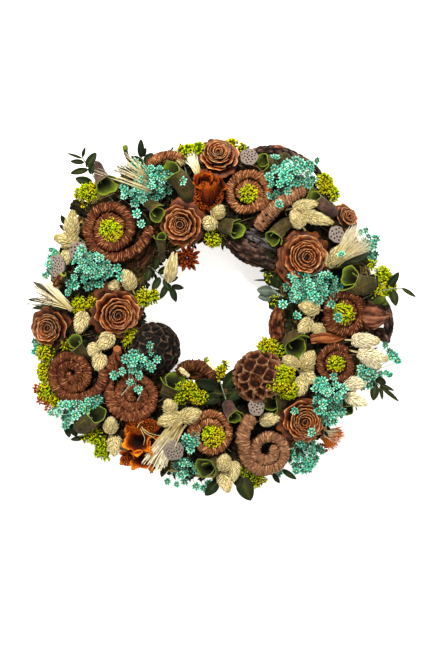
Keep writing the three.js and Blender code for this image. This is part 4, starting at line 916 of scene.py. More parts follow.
# %%
# The heads and their stems
HEADS = {
    # height, tail, tip, half width, rise of the tip
    "grass_heads_left": [
      [50, 71, 241, 74, 208, 9, 6], [48, 80, 243, 52, 237, 9, 3], [48, 67, 250, 67, 264, 6, 0],
      [50, 133, 290, 124, 269, 8.6, 4], [46, 120, 286, 109, 286, 5.6, 1], [49, 85, 311, 78, 335, 8.6, 2]],
    "grass_heads_low_left": [
      [52, 112, 333, 101, 349, 9.6, 4], [50, 97, 343, 91, 355, 6.4, 3], [52, 101, 353, 99, 371, 8.6, 4]],
    "grass_heads_top": [
      [48, 214, 218, 222, 206, 8.6, 6], [48, 214, 218, 206, 229, 9.2, 4], [53, 291, 209, 320, 203, 6.6, 2],
      [52, 303, 228, 290, 211, 8, 2], [52, 300, 214, 336, 225, 7.2, 5]],
    "grass_heads_right": [
      [50, 320, 310, 297, 305, 9, 5], [49, 312, 319, 298, 333, 8, 3], [47, 327, 330, 306, 327, 5, 2],
      [50, 350, 340, 382, 341, 8.6, 3], [50, 356, 352, 391, 360, 8.4, 1], [47, 360, 354, 383, 369, 7, -3],
      [44, 343, 384, 368, 383, 8.2, 1], [46, 345, 396, 369, 405, 7.4, 1]],
    "grass_heads_low_right": [
      [50, 297, 369, 283, 356, 9, 5], [51, 301, 369, 314, 350, 9.6, 6], [49, 304, 371, 315, 383, 6.2, 3],
      [50, 302, 376, 299, 396, 8.8, 4], [46, 312, 364, 300, 380, 6, 0]],
    "grass_heads_bottom": [
      [49, 259, 421, 280, 417, 7.2, 3], [49, 222, 471, 226, 453, 9, 4], [46, 234, 460, 234, 482, 6, 1],
      [45, 222, 471, 229, 494, 8.8, -2]],
    "grass_heads_bottom_left": [
      [46, 110, 434, 112, 416, 8.4, 3], [42, 114, 434, 114, 458, 7.8, -2], [50, 173, 414, 167, 399, 8.2, 3],
      [50, 182, 416, 156, 423, 9.4, 4], [50, 179, 418, 203, 411, 9.2, 6], [49, 172, 414, 178, 432, 8, 4]],
}
# Heads right of this pixel get the husk painted lighter, as lit.
LIT_FROM = 340  # heads that start right of this pixel are whiter


def head(heap, tail, tip, r, n, slot=HUSK_SLOT):
    """An egg of n husks round a core. The egg's radius at t is r sin(pi t^0.8)^0.6."""
    axis = tip - tail
    long = np.linalg.norm(axis)
    axis = axis / long
    side = unit(np.cross(axis, [0.01, 0.02, 1.0]))
    over = np.cross(side, axis)
    t = ((np.arange(n) + 0.5) / n)[:, None]
    a = np.arange(n)[:, None] * GOLDEN
    out = side * np.cos(a) + over * np.sin(a)
    swell = np.sin(np.pi * np.clip(t, 0.03, 0.985) ** 0.8) ** 0.6
    way = out * (0.95 - 0.85 * t) + axis * (0.35 + 0.75 * t)
    base = tail + axis * (long * (0.02 + 0.8 * t)) + out * (0.62 * r * swell)
    size = np.where(t < 0.9, 1, 0.85)[:, 0] * rng.uniform(0.88, 1.12, n)
    tint = rng.uniform(0.08, 0.95, n)
    way = way + rng.normal(0, 0.12, (n, 3))
    blades(heap, base, way, out, 4.6 * size, 0.68 * size, 0.5, -0.1, 1, 0.7, tint, slot, (0.25, 1.25))
    f = np.linspace(0.04, 0.9, 7)
    core = 0.68 * r * np.sin(np.pi * f**0.8) ** 0.6
    # The core is painted dark, as the shade inside the egg of husks.
    tubes(heap, tail + axis * long * f[:, None], core, 10, 0.28, 0.4, slot)


heads = {name: Heap() for name in HEADS}
for name, rows in HEADS.items():
    for z, x0, y0, x1, y1, r, rise in rows:
        a, b = px(x0, y0, z), px(x1, y1, z + rise)
        husks = int(130 + 6 * np.linalg.norm(b - a))
        head(heads[name], a, b, r, husks, LIT_HUSK_SLOT if x0 > LIT_FROM else HUSK_SLOT)
        stem = [a + (b - a) * 0.2, a - (b - a) * 0.15 - [0, 0, 3], a - (b - a) * 0.2 - [0, 0, 12]]
        tubes(heads[name], stem, 0.9, 5, 0.4, 0.4, STRAW_SLOT)
print("heads", sum(len(rows) for rows in HEADS.values()))

# %% [markdown]
# ## Fans of bristles
# Cut grass ears end in fans of stiff bristles. Blender's hair would draw them, but hair is no
# mesh and is lost in an export. So each bristle is a thin tapering tube from a shared foot to
# a tip on the fan's edge. It sags a little, by a parabola, and chance terms let
# the bristles cross.

# %%
# One fan


def bristles(heap, foot, tips, n, thick, spread=1.5, sag=2.0, slot=0, tint=(0, 1), edges=(0.2, 0.95),
             blur=0.35, wobble=0.35):
    """n bristles from near the foot to points along the line of tips. At t along it the middle is
    foot (1 - t) + end t, raised by 4 sag t (1 - t), and the radius is thick (1 - 0.75 t)."""
    tips = np.asarray(tips, float)
    f = rng.uniform(0, len(tips) - 1, n)
    k = np.minimum(f.astype(int), len(tips) - 2)
    w = (f - k)[:, None]
    end = tips[k] * (1 - w) + tips[k + 1] * w
    foot = np.asarray(foot, float) + rng.normal(0, spread, (n, 3)) * [1, 1, 0.7]
    end = foot + (end - foot) * rng.uniform(1 - blur, 1.04, (n, 1)) + rng.normal(0, 0.8, (n, 3))
    t = np.linspace(0, 1, 5)[None, :, None]
    way = foot[:, None] * (1 - t) + end[:, None] * t
    way[..., 2] += 4 * sag * (t * (1 - t))[..., 0] + rng.normal(0, 0.7, (n, 1)) * t[..., 0]
    way += rng.normal(0, wobble, way.shape) * t
    radii = thick * (1 - 0.75 * t[..., 0]) * rng.uniform(0.7, 1.3, (n, 1))
    shade = np.broadcast_to(edges[0] + (edges[1] - edges[0]) * t[..., 0], (n, 5))
    tubes(heap, way, radii, 3, shade, rng.uniform(*tint, n), slot)


# %% [markdown]
# The fan at the left edge has white straws on top, grey bristles under them and a few dark
# blades. It is added to the heads beside it, because it is tied into the same bunch.

# %%
# The fan at the left edge
heap = heads["grass_heads_left"]
foot = px(71, 309, 46)
LEFT_FAN = (
    # shift of the foot, tips as pixels and height, how many, the rest as in bristles
    (4, [36, 41, 46, 51], [277, 276, 277, 281], [44, 46, 47, 48], 75, 0.42, 1.0, 2.5, STRAW_SLOT,
     (0.2, 1), (0.2, 1.2), 0.25),
    (3, [29, 27, 30], [281, 290, 300], [38, 37, 36], 22, 0.32, 1.2, 2.5, STRAW_SLOT,
     (0.2, 1), (0.3, 1.1), 0.1),
    (0, [38, 30, 31, 34], [282, 282, 290, 294], [34, 31, 31, 32], 60, 0.7, 1.5, 1.5, GREY_SLOT),
    (-1, [31, 28, 34], [297, 304, 308], [28, 27, 28], 40, 0.7, 1.5, 1.0, GREY_SLOT),
)
for lift, x, y, z, *rest in LEFT_FAN:
    bristles(heap, foot + [0, 0, lift], px(x, y, z), *rest)
base = px([66, 64, 62, 66, 60], [301, 303, 298, 306, 300], 40)
way = px([27, 26, 32, 28, 40], [281, 298, 289, 304, 286], 33) - px(64, 302, 40)
blades(heap, base, way, [0, 0, 1], [42, 40, 34, 38, 26], 2.6, 0.5, -0.05, 6, 0.6,
       [0.2, 0.4, 0.1, 0.3, 0.5], GREY_SLOT, (0.0, 0.4))
for x, y, z, r, edge, tint, slot in (
        ([66, 45, 32, 27, 26], [300, 296, 299, 303, 308], [45, 36, 32, 31, 30], 0.45, 0.6, 0.3, GREY_SLOT),
        ([70, 60, 55, 50], [303, 292, 283, 276], [48, 46, 42, 40], 0.4, 0.9, 0.9, STRAW_SLOT)):
    tubes(heap, spline(px(x, y, z), 1.5), r, 5, edge, tint, slot)

# %% [markdown]
# The bundle at the bottom is wheat straw, frayed by cutting: thick pale straws over thin ones
# painted darker, as the shade under them, with four loose curls that stand up over the orange
# cups.

# %%
# The frayed bundle, and all the heads as pieces
heap = heads["grass_heads_bottom_left"]
foot = px(178, 424, 53)
bristles(heap, foot, px([143, 148, 157, 166], [459, 469, 473, 466], [42, 41, 42, 45]), 64, 1.3, 2.8, 4,
         WHEAT_SLOT, (0, 1), (0.3, 1.2), 0.14, 1.0)
# Painted shade: thin straws of the bleached grass, drawn darker, lie under the pale ones.
bristles(heap, foot, px([146, 150, 158], [452, 463, 468], [44, 42, 40]), 70, 0.9, 2.6, 3,
         STRAW_SLOT, (0, 0.6), (0.1, 0.7))
LOOSE_CURLS = ([[142, 426], [146, 432], [156, 438], [161, 442]], [[141, 428], [145, 437], [144, 444]],
               [[143, 428], [152, 433], [166, 436]], [[138, 427], [140, 423], [144, 420]])
for way in LOOSE_CURLS:
    way = spline(px(*np.array(way).T, 56.5), 1.2)
    way[1:-1] += rng.normal(0, 0.22, way[1:-1].shape)
    tubes(heap, way, np.linspace(0.42, 0.14, len(way)), 4, 0.4, 0.5, STRAW_SLOT)
for name in heads:
    piece(heads[name], name + "_look", GRASS, [name], "grass_cream", smooth=False)
tell("grass_heads")

# %% [markdown]
# The other fans are tables of feet and tips. The upper left one is four thin rows of straws
# that lie over the star flowers, and the rust brush at the lower right is made of the same
# bristles in another colour. Rust is crumbly, so it has a strong grain and bump.

# %%
# The fans and the rust brush
RUST = dried("rust_crumb", [(0, "#240a02"), (0.5, "#8a3206"), (1, "#d06c18")],
             grain=(0.7, 0.4), bump=(0.4, 0.4))
FANS = {
    # foot pixel and height, tips as pixel and height, how many, thickness, slot, edges
    "grass_fan_top": [
      [[151, 191, 57], [[96, 173, 57], [100, 170, 57]], 13, 0.42, 1, (0.3, 1)],
      [[149, 185, 57], [[102, 168, 58], [112, 160, 57]], 11, 0.42, 1, (0.3, 1)],
      [[147, 184, 48], [[113, 170, 44], [118, 165, 44], [128, 160, 44]], 150, 0.6, 2, (0.1, 0.8)],
      [[148, 179, 57], [[112, 160, 57], [121, 154, 56]], 12, 0.42, 1, (0.3, 1)],
      [[147, 174, 57], [[122, 154, 56], [130, 152, 55]], 9, 0.42, 1, (0.3, 1)],
      [[199, 176, 52], [[184, 161, 48], [187, 153, 46], [193, 149, 45], [197, 156, 46]],
       80, 0.6, 0, (0.5, 1.2)],
      [[181, 164, 50], [[164, 153, 44], [170, 149, 44], [176, 150, 44]], 50, 0.5, 0, (0.4, 1.2)]],
    "grass_fan_right": [
      [[331, 262, 53], [[347, 229, 56], [356, 225, 54], [362, 236, 52]], 170, 0.6, 1, (0.15, 1)],
      [[333, 264, 52], [[362, 236, 52], [370, 243, 50], [372, 250, 48]], 120, 0.6, 1, (0.1, 0.9)],
      [[335, 266, 50], [[368, 246, 47], [370, 256, 46], [360, 264, 46]], 70, 0.8, 2, (0.1, 0.7)]],
    "orange_low_right": [
      [[322, 433, 32], [[344, 428, 30], [346, 438, 28], [338, 449, 26], [330, 452, 25]],
       260, 0.8, 0, (0.4, 1.3)],
      [[323, 432, 34], [[340, 430, 31], [343, 438, 30], [334, 448, 29]], 50, 0.5, 1, (0.5, 1)]],
}
FAN_FINISH = {"grass_fan_top": (GRASS, "grass_cream"), "grass_fan_right": (GRASS, "grass_cream"),
              "orange_low_right": ([RUST, STRAW], "orange_bloom")}
for name, rows in FANS.items():
    heap = Heap()
    for foot, tips, n, thick, which, edges in rows:
        bristles(heap, px(*foot), px(*np.array(tips).T), n, thick, 1.6, 2.0, which, (0, 1), edges)
    if name == "grass_fan_right":
        head(heap, px(327, 268, 49), px(341, 243, 57), 6.5, 240)
    stains, slot = FAN_FINISH[name]
    piece(heap, name + "_look", stains, [name], slot)
tell("fan")

# %% [markdown]
# ## Star flowers
# The turquoise stars are tiny daisies, dyed, about a centimetre wide. Copies of one bloom
# would look stamped, so each has its own size, turn and tilt. A bloom is two whorls of
# pointed petals round a pale button, on a thin stem, and the upper whorl is shorter and
# stands up more. The petals are painted dark at the heart, the shade between them, and almost
# white at the tips, partly a painted highlight. The lower a bloom sits in its cluster, the
# darker its tint, which is painted shade that sets the low blooms back.

# %%
# The places of the star flowers
# Dark at the foot of each petal, painted shade between the petals; near white at the tips, partly a painted
# highlight.
STAR = dried("star_petal", [(0, "#01180f"), (0.34, "#034c40"), (0.66, "#168c70"), (1, "#bef2e0")],
             [(0, "#011812"), (0.34, "#024034"), (0.66, "#0f7e66"), (1, "#74d8bc")],
             patch=7, grain=(0.7, 0.2), bump=(0.4, 0.08), spread=(0.34, 1.6))
STAR_EYE = dried("star_centre", [(0, "#3c5028"), (1, "#ccd094")], grain=(0.5, 0.3))
STEM = dried("thin_stem", [(0, "#4c5c40"), (1, "#9cb09a")])
CLUSTERS = {
    # foot, height of the foot, centre, half width and half height, blooms, rise
    "stars_top_left": [[134, 200, 43, 152, 184, 19, 17, 30, 17], [134, 200, 43, 140, 197, 10, 9, 9, 15]],
    "stars_top_right": [[292, 178, 47, 297, 175, 19, 14, 27, 15], [292, 178, 47, 278, 194, 8, 13, 9, 13]],
    "stars_left": [[68, 284, 52, 53, 262, 6, 12, 9, 7], [98, 272, 52, 93, 270, 19, 16, 27, 15]],
    "stars_right": [[322, 288, 45, 312, 288, 27, 17, 46, 15], [366, 252, 40, 369, 249, 9, 13, 17, 9]],
    "stars_low_left": [[127, 362, 47, 137, 360, 13, 12, 15, 15], [80, 412, 47, 73, 411, 20, 11, 22, 12],
                       [100, 404, 47, 93, 399, 11, 5, 6, 10]],
    "stars_low_right": [[326, 400, 46, 327, 402, 16, 23, 28, 16], [372, 372, 46, 370, 376, 12, 13, 18, 9]],
    "stars_bottom": [[300, 448, 33, 304, 456, 17, 19, 38, 12]],
    "stars_bottom_left": [[190, 455, 48, 190, 441, 8, 8, 7, 12], [186, 462, 38, 185, 469, 12, 11, 14, 10]],
}
STREWN = {
    # single blooms, as pixels and height
    "stars_top_left": [[125, 187, 54], [126, 192, 54], [124, 197, 53], [183, 182, 58], [138, 215, 59],
                       [142, 225, 57], [136, 163, 48]],
    "stars_top_right": [[275, 159, 52], [274, 170, 55], [269, 178, 56], [316, 161, 47], [310, 165, 50],
                        [287, 192, 60], [278, 206, 63]],
    "stars_left": [[45, 276, 40], [71, 284, 58], [76, 285, 58], [70, 293, 57], [101, 259, 66],
                   [84, 251, 66], [80, 257, 66], [118, 268, 55], [122, 277, 54], [56, 253, 50]],
    "stars_right": [[340, 256, 64], [337, 318, 62], [331, 304, 62], [283, 305, 50], [296, 316, 52],
                    [366, 230, 46], [360, 232, 45], [376, 239, 44]],
    "stars_low_left": [[123, 371, 60], [116, 374, 60], [139, 375, 61], [131, 382, 62], [139, 389, 62],
                       [150, 345, 61], [151, 352, 61], [147, 361, 60], [152, 367, 60], [158, 359, 60],
                       [33, 342, 34], [36, 347, 34], [34, 352, 34], [52, 414, 44], [65, 426, 44],
                       [68, 421, 46]],
    "stars_low_right": [[333, 376, 57], [294, 410, 63], [311, 431, 62], [317, 382, 58], [385, 345, 50],
                        [390, 351, 46], [391, 358, 44], [395, 355, 42], [398, 361, 42], [386, 373, 44],
                        [391, 376, 42], [342, 388, 58], [340, 415, 52], [333, 421, 52]],
    "stars_bottom": [[300, 442, 44], [279, 474, 36], [297, 473, 34], [322, 452, 32]],
    "stars_bottom_left": [[167, 482, 40], [176, 485, 40], [196, 487, 38], [208, 484, 38], [204, 489, 37],
                          [185, 482, 40]],
}
LOOSE_STEMS = ([[131, 383], [127, 389], [122, 395]], [[139, 390], [141, 394], [138, 400]])

# %%
# Many blooms at once
BLOOM_UP = (0.31, 0.2, 0.93)  # buttons and stems stand upright, so their up leans away
WHORLS = (
    # petals, length, rise, first angle, width as a share of the length
    (8, 1.0, 0.3, 0, 0.24),
    (6, 0.75, 0.9, 0.3, 0.22),
)


def blooms(heap, spots, faces, size, feet, painted_light_and_tone):
    """Blooms at spots that face along faces. A petal is a blade from the button outwards, along
    side cos a + over sin a + face rise."""
    n = len(spots)
    faces = unit(faces)
    side = unit(np.cross(faces, rng.normal(0, 1, (n, 3))))
    over = np.cross(faces, side)
    # Painted light and shade: each bloom's tint follows the brightness given for it, by height in a cluster
    # and by chance for a single bloom.
    tint = np.clip(0.8 * painted_light_and_tone + 0.2 * rng.uniform(0, 1, n), 0, 1)
    for count, long, rise, start, wide in WHORLS:
        turn = start + 2 * np.pi * (np.arange(count) + rng.uniform(-0.25, 0.25, (n, count))) / count
        way = side[:, None] * np.cos(turn)[..., None] + over[:, None] * np.sin(turn)[..., None]
        way = way + faces[:, None] * rise
        base = spots[:, None] + way * (0.12 * size)[:, None, None]
        length = (size[:, None] * long * rng.uniform(0.85, 1.1, (n, count))).ravel()
        shade = np.clip(tint[:, None] * 0.8 + rng.uniform(0, 0.2, (n, count)), 0, 1).ravel()
        up = np.repeat(faces, count, 0)
        blades(heap, base.reshape(-1, 3), way.reshape(-1, 3), up, length, wide * length, 0.3, 0.14, 2, 0.7,
               shade, 0, (0.0, 1.3))
    button = np.stack([spots - faces * 0.6, spots + faces * (0.26 * size)[:, None]], 1)
    tubes(heap, button, (0.19 * size)[:, None], 6, 0.75, tint, 1, up=BLOOM_UP)
    calyx = np.stack([spots - faces * (0.5 * size)[:, None], spots - faces * 0.1], 1)
    tubes(heap, calyx, np.stack([0.1 * size, 0.3 * size], 1), 6, 0.15, tint, 0, up=BLOOM_UP)
    t = np.linspace(0, 1, 5)[None, :, None]
    neck = spots - faces * (0.4 * size)[:, None]
    stems = feet[:, None] * (1 - t) + neck[:, None] * t - 5 * faces[:, None] * t * (1 - t)
    tubes(heap, stems, 0.33, 3, 0.5, tint, 2)


# %%
# The clusters: a golden spiral inside an oval, then the single blooms
k = 0
for name in STREWN:
    heap = Heap()
    spots, faces, feet, painted_light_and_tone = [], [], [], []
    for fx, fy, fz, x, y, rx, ry, n, rise in CLUSTERS[name]:
        a = np.arange(n) * GOLDEN + k
        out = np.sqrt((np.arange(n) + 0.5) / n) * rng.uniform(0.9, 1.06, n)
        # Painted shade: the lower a bloom drops below its cluster, the darker its tint.
        drop = rng.uniform(-8, 2.5, n)
        painted_light_and_tone.append((drop + 8) / 10.5)
        at = px(x + rx * out * np.cos(a), y - ry * out * np.sin(a), fz + rise - 6 * out**2 + drop)
        at[:, :2] += rng.normal(0, 0.8, (n, 2))
        away = np.maximum(np.hypot(*(at[:, :2] - RING).T) - RING_R - 30, 0)
        at[:, 2] -= 0.45 * away
        spots.append(at)
        faces.append(stack(0.7 * out * np.cos(a), 0.7 * out * np.sin(a), 1.0) + rng.normal(0, 0.3, (n, 3)))
        feet.append(np.repeat(px(fx, fy, fz)[None], n, 0) + rng.normal(0, 1.2, (n, 3)))
        k += 1
    single = px(*np.array(STREWN[name], float).T)
    spots.append(single)
    faces.append(np.array([0, 0, 1]) + rng.normal(0, 0.3, single.shape))
    near = np.concatenate(feet)
    feet.append(near[np.argmin(np.linalg.norm(single[:, None] - near, axis=-1), axis=1)])
    painted_light_and_tone.append(rng.uniform(0.3, 1, len(single)))
    spots, faces, feet, painted_light_and_tone = (np.concatenate(v) for v in (spots, faces, feet, painted_light_and_tone))
    blooms(heap, spots, faces, rng.uniform(3.9, 5.7, len(spots)), feet, painted_light_and_tone)
    if name == "stars_low_left":
        for way in LOOSE_STEMS:
            tubes(heap, spline(px(*np.array(way).T, 57.5), 1.5), 0.4, 4, 0.8, 0.9, 2)
    piece(heap, name + "_look", [STAR, STAR_EYE, STEM], [name], "star_flower", smooth=False)
tell("stars")

# %% [markdown]
# ## Ruscus sprigs
# Dark leathery leaves on thin stems reach out of the wreath. A leaf could be a flat picture on
# a plane, but it would be a line from the side. So it is a thin sheet whose half width at t
# along it is w (4 t (1 - t))^0.72, folded along its midrib and arched over its length.
# The leaves are almost black green, with a low shine where they curve, and a few on the
# inner side are pale grey green.

# %%
# The sprigs' places
RUSCUS = dried("ruscus_leaf", [(0, "#080f04"), (0.5, "#122008"), (1, "#2c3e12")],
               [(0, "#0c1004"), (0.5, "#1c2208"), (1, "#3e4014")],
               patch=22, rough=0.6, grain=(1.5, 0.2), bump=(1.2, 0.15), shine=0.12)
GREEN_GREY = dried("grey_green_leaf", [(0, "#1c221c"), (0.5, "#46524a"), (1, "#6c7a6c")], rough=0.6)
SPRIGS = {
    # height, stem pixels, leaves as base, tip, half width
    "ruscus_top_left": [
      [41, [[113, 201], [98, 184], [90, 170], [82, 157]], [
      [82, 158, 67, 153, 1.3], [82, 157, 85, 147, 1.7], [84, 162, 70, 161, 2.6], [86, 167, 96, 152, 4.2],
      [88, 169, 70, 173, 3.1], [90, 174, 94, 163, 3.6], [93, 184, 75, 178, 4.6]]],
      [44, [[154, 186], [146, 168], [141, 156]], [
      [141, 158, 141, 139, 3.4], [142, 157, 146, 148, 2.4], [144, 162, 153, 153, 3.6],
      [143, 164, 131, 156, 3.6], [150, 172, 158, 160, 3.4]]],
      [44, [[188, 178], [184, 165], [181, 156]], [[182, 158, 180, 149, 3.2], [183, 162, 187, 150, 2.6]]],
      [43, [[88, 246], [77, 236], [64, 227]], [
      [66, 225, 61, 215, 2.6], [68, 231, 59, 225, 2.2], [72, 233, 68, 226, 1.2]]]],
    "ruscus_inner": [
      [39, [[140, 262], [157, 272], [172, 287]], [
      [158, 274, 168, 266, 3.2], [160, 277, 152, 291, 3.6], [166, 281, 178, 277, 3.0],
      [168, 283, 160, 299, 3.2], [171, 286, 184, 288, 2.8], [171, 287, 176, 302, 3.4],
      [150, 268, 146, 282, 3.4], [154, 270, 159, 257, 3.0], [163, 279, 171, 292, 3.0]]]],
    "ruscus_right": [
      [43, [[352, 304], [376, 293], [390, 289], [403, 288]], [
      [388, 288, 399, 272, 3.8], [392, 289, 396, 306, 4.4], [402, 288, 416, 297, 2.0],
      [377, 294, 377, 270, 1.2], [368, 297, 389, 304, 5.2]]],
      [37, [[358, 366], [370, 377], [380, 386]], [
      [376, 378, 387, 384, 3.6], [376, 384, 374, 401, 4.4], [381, 386, 383, 400, 1.8],
      [380, 384, 395, 391, 1.8], [381, 386, 400, 402, 2.0]]]],
    "ruscus_bottom": [
      [40, [[252, 458], [246, 472], [240, 484]], [
      [240, 476, 251, 501, 8.4], [236, 474, 240, 488, 5.2], [219, 481, 205, 496, 5.2],
      [226, 470, 212, 486, 4.8]]],
      [37, [[270, 456], [276, 466], [282, 472]], [[273, 474, 280, 484, 2.6], [282, 470, 297, 480, 2.8]]],
      [36, [[180, 452], [172, 460], [168, 464]], [[169, 456, 161, 478, 4.2], [167, 460, 164, 472, 3.2]]]],
    "ruscus_low_left": [
      [38, [[100, 414], [90, 428], [83, 437]], [
      [66, 424, 69, 438, 3.6], [71, 424, 76, 437, 4.2], [83, 438, 70, 440, 2.4], [84, 436, 84, 444, 1.4],
      [92, 430, 76, 432, 3.4]]]],
    "ruscus_inner_low": [
      [45, [[217, 372], [221, 384], [226, 400]], [
      [219, 388, 195, 381, 6.0], [221, 399, 198, 398, 5.6], [224, 388, 240, 368, 7.0],
      [228, 400, 243, 384, 7.0], [222, 394, 208, 392, 4.0]]]],
    "ruscus_inner_right": [
      [38, [[292, 326], [284, 308], [272, 284]], [
      [277, 288, 279, 269, 5.6], [272, 286, 265, 271, 4.2], [274, 296, 258, 297, 5.0],
      [282, 300, 269, 308, 6.2], [283, 310, 292, 318, 4.0], [290, 322, 282, 327, 3.6],
      [286, 306, 294, 298, 4.2], [272, 280, 254, 280, 0.9]]],
      [38, [[288, 300], [276, 292], [262, 288]], [[274, 291, 257, 290, 5.2], [278, 296, 262, 297, 4.6]]]],
}
GREYISH = {(274, 291), (278, 296), (274, 296)}  # the bases of the grey green leaves

# %%
# One leaf, and the sprigs


def leaf(heap, base, tip, half, slot, seed):
    """The middle line is base + (tip - base) t, arched by 4 t (1 - t). The edges stand up by
    |u|^1.5 at the share u of the half width, and the midrib is a narrow groove."""
    t = np.linspace(0.0, 1, 13)[:, None]
    u = np.linspace(-1, 1, 7)[None]
    along = tip - base
    long = np.linalg.norm(along)
    side = unit(np.cross(along, [0, 0, 1.0]))
    over = np.cross(side, along / long)
    wide = half * np.maximum(4 * t * (1 - t), 0) ** 0.72 * (1.15 - 0.3 * t) + 0.15
    bow = 0.09 * long * 4 * t * (1 - t)
    lean = 0.2 * math.sin(seed * 2.3) * half * u
    high = bow + 0.28 * half * np.abs(u) ** 1.5 * (t * (1 - t) * 4) + lean
    high = high - 0.22 * np.exp(-((u / 0.12) ** 2))
    top = base + along * t[..., None] + side * (wide * u)[..., None] + over * high[..., None]
    veins = 0.25 * np.abs(np.sin(7 * (t * 3 - 0.8 * np.abs(u)))) ** 8
    shade = 0.5 - veins + 0.35 * np.exp(-((u / 0.1) ** 2)) + 0.3 * (1 - np.abs(u)) * math.sin(seed)
    heap.sheet(top, top - over * 0.5, np.clip(shade, 0, 1), (0.31 * seed) % 1, slot)


for name in sorted(SPRIGS):
    heap = Heap()
    count = 0
    for z, way, leaves in SPRIGS[name]:
        tubes(heap, spline(px(*np.array(way).T, z), 1.5), 0.6, 6, 0.4, 0.5, 2)
        for x0, y0, x1, y1, half in leaves:
            count += 1
            slot = 1 if (x0, y0) in GREYISH else 0
            tip = px(x1, y1, z + 1 + 1.5 * math.sin(count))
            leaf(heap, px(x0, y0, z), tip, half, slot, count + len(name))
    piece(heap, name + "_look", [RUSCUS, GREEN_GREY, STEM], [name], "ruscus_leaf")
tell("ruscus")

# %% [markdown]
# ## Orange blooms
# Three kinds of dyed bloom: a dried tulip at the top, thin open cups at the lower left, and
# crumbly rust tufts. Sculpted petals would be closest, but thin walls made by formula are
# easier to keep closed. The tulip is long blades in two rings round a dark heart, a cup is
# one wall with a lobed rim, and a tuft is a few hundred thorns on an egg.
# The tulip is dull and deeply furrowed lengthwise, so its noise is stretched to a third
# along the petals. Its heart and the inner ring of its blades are painted dark, as shade. The
# cups are painted dark at the bottom, as shade, and brighter towards their rims.

# %%
# Thorns, bracts and cups
TULIP = dried("dried_tulip", [(0, "#0c0301"), (0.4, "#3a0e01"), (0.75, "#7a2a02"), (1, "#b8560a")],
              grain=(1.1, 0.75), bump=(0.8, 1.0), stretch=(1, 0.3, 1), spread=(0.6, 1.05))


def crumbs(heap, x, y, z, rx, ry, rz, n, long, slot, lean=(0, 0)):
    """n short thorns that stand on the upper half of an egg with the half widths rx, ry, rz, at
    the golden angle and at even steps of height."""
    a = np.arange(n) * GOLDEN
    h = (np.arange(n) + 0.5) / n
    flat = np.sqrt(1 - (1 - h) ** 2)
    out = np.stack([flat * np.cos(a), flat * np.sin(a), 1 - h], 1)
    base = px(x, y, z) + out * [rx, ry, rz]
    way = unit(out / [rx, ry, rz]) + rng.normal(0, 0.5, (n, 3)) + [lean[0], lean[1], 0]
    blades(heap, base - out, way, [0.1, 0.2, 1], long * rng.uniform(0.7, 1.3, n), 0.28 * long, 0.24 * long,
           0.1, 2, 0.5, rng.uniform(0, 1, n), slot, (0.1, 1.0))


def bracts(heap, place, r, tall, n, flare, wide, curl, seed):
    """Two rings of n blades round a heart. They start at 0.42 r and lean outwards by flare; the
    inner ring is smaller and painted darker, as shade, and the heart is painted near black. wide
    is the half width as a share of r, curl the bend."""
    draw = np.random.default_rng(seed)
    for size, lift, shade in ((1.0, 0, (0.1, 1.0)), (0.72, 1.2, (0.0, 0.75))):
        a = 2 * np.pi * (np.arange(n) + draw.uniform(-0.2, 0.2, n)) / n + size * 3
        out = stack(np.cos(a), np.sin(a), 0.0)
        base = put(out * r * 0.42 * size + [0, 0, lift], place)
        way = put(out * flare + [0, 0, 1.0], (np.zeros(3), place[1]))
        length = tall * size * draw.uniform(0.8, 1.15, n)
        blades(heap, base, way, -out @ place[1], length, wide * r, 0.9, curl, 7, 0.42,
               draw.uniform(0, 1, n), 0, shade)
    heart, up = put([0, 0, 0.5], place), place[1][2]
    tubes(heap, [heart - up * 3, heart + up * 0.8], [0.5 * r, 0.45 * r], 12, 0.0, 0.2)


def calyx(heap, place, r, tall, lobes, slot, seed):
    """A thin ragged cup. At the share v of its height and the angle a, its reach is
    r (0.3 + 0.7 v^0.9 (0.62 + 0.5 tip)), where tip = |cos(lobes a / 2)|^0.7 makes the lobes of
    the rim. It is painted dark at the bottom, as the shade in the cup, and bright at the rim, and
    its outer wall is drawn a fifth darker than the inner."""
    a = np.linspace(0, 2 * np.pi, 44, endpoint=False)[None]
    v = np.linspace(0, 1, 9)[:, None]
    tip = np.abs(np.cos(0.5 * lobes * a + seed)) ** 0.7
    torn = noise(stack(2 * np.cos(a), 2 * np.sin(a), 1.5 * v) + seed, 0.5, seed) - 0.5
    reach = r * (0.3 + 0.7 * v**0.9 * (0.62 + 0.5 * tip)) * (1 + 0.35 * torn)
    high = tall * v * (0.55 + 0.45 * tip) * (1 - 0.2 * v * v) * (1 + 0.4 * torn * v)
    inner = stack(reach * np.cos(a), reach * np.sin(a), high)
    outer = stack((reach + 0.6) * np.cos(a), (reach + 0.6) * np.sin(a), high - 0.3)
    shade = np.clip(v**1.4 * (0.8 + 0.35 * tip) + 0.7 * torn * v, 0, 1)
    wall = put(np.concatenate([outer, inner[::-1]]), place)
    shade = np.concatenate([shade * 0.8, shade[::-1]])
    tint = 0.5 + 0.4 * math.sin(seed)
    heap.grid(wall, shade, tint, True, slot, wall[:1].mean(1), wall[-1:].mean(1))


# %%
# The dried tulip at the top
heap = Heap()
bracts(heap, frame_over(208, 207, 48, [0.02, 1.7]), 11, 31, 8, 0.62, 0.55, 0.42, 3)
calyx(heap, frame_over(204, 187, 52, [-0.1, 0.5]), 9.5, 16, 3, 0, 2)
calyx(heap, frame_over(217, 188, 51, [0.3, 0.3]), 7, 14, 3, 0, 4)
crumbs(heap, 208, 206, 47, 8, 5, 7, 120, 2.6, 1, (0, -0.5))
crumbs(heap, 208, 196, 47, 14.5, 14, 15, 330, 3.2, 1, (0, 0.9))
piece(heap, "orange_top_look", [TULIP, RUST], ["orange_top"], "orange_bloom")

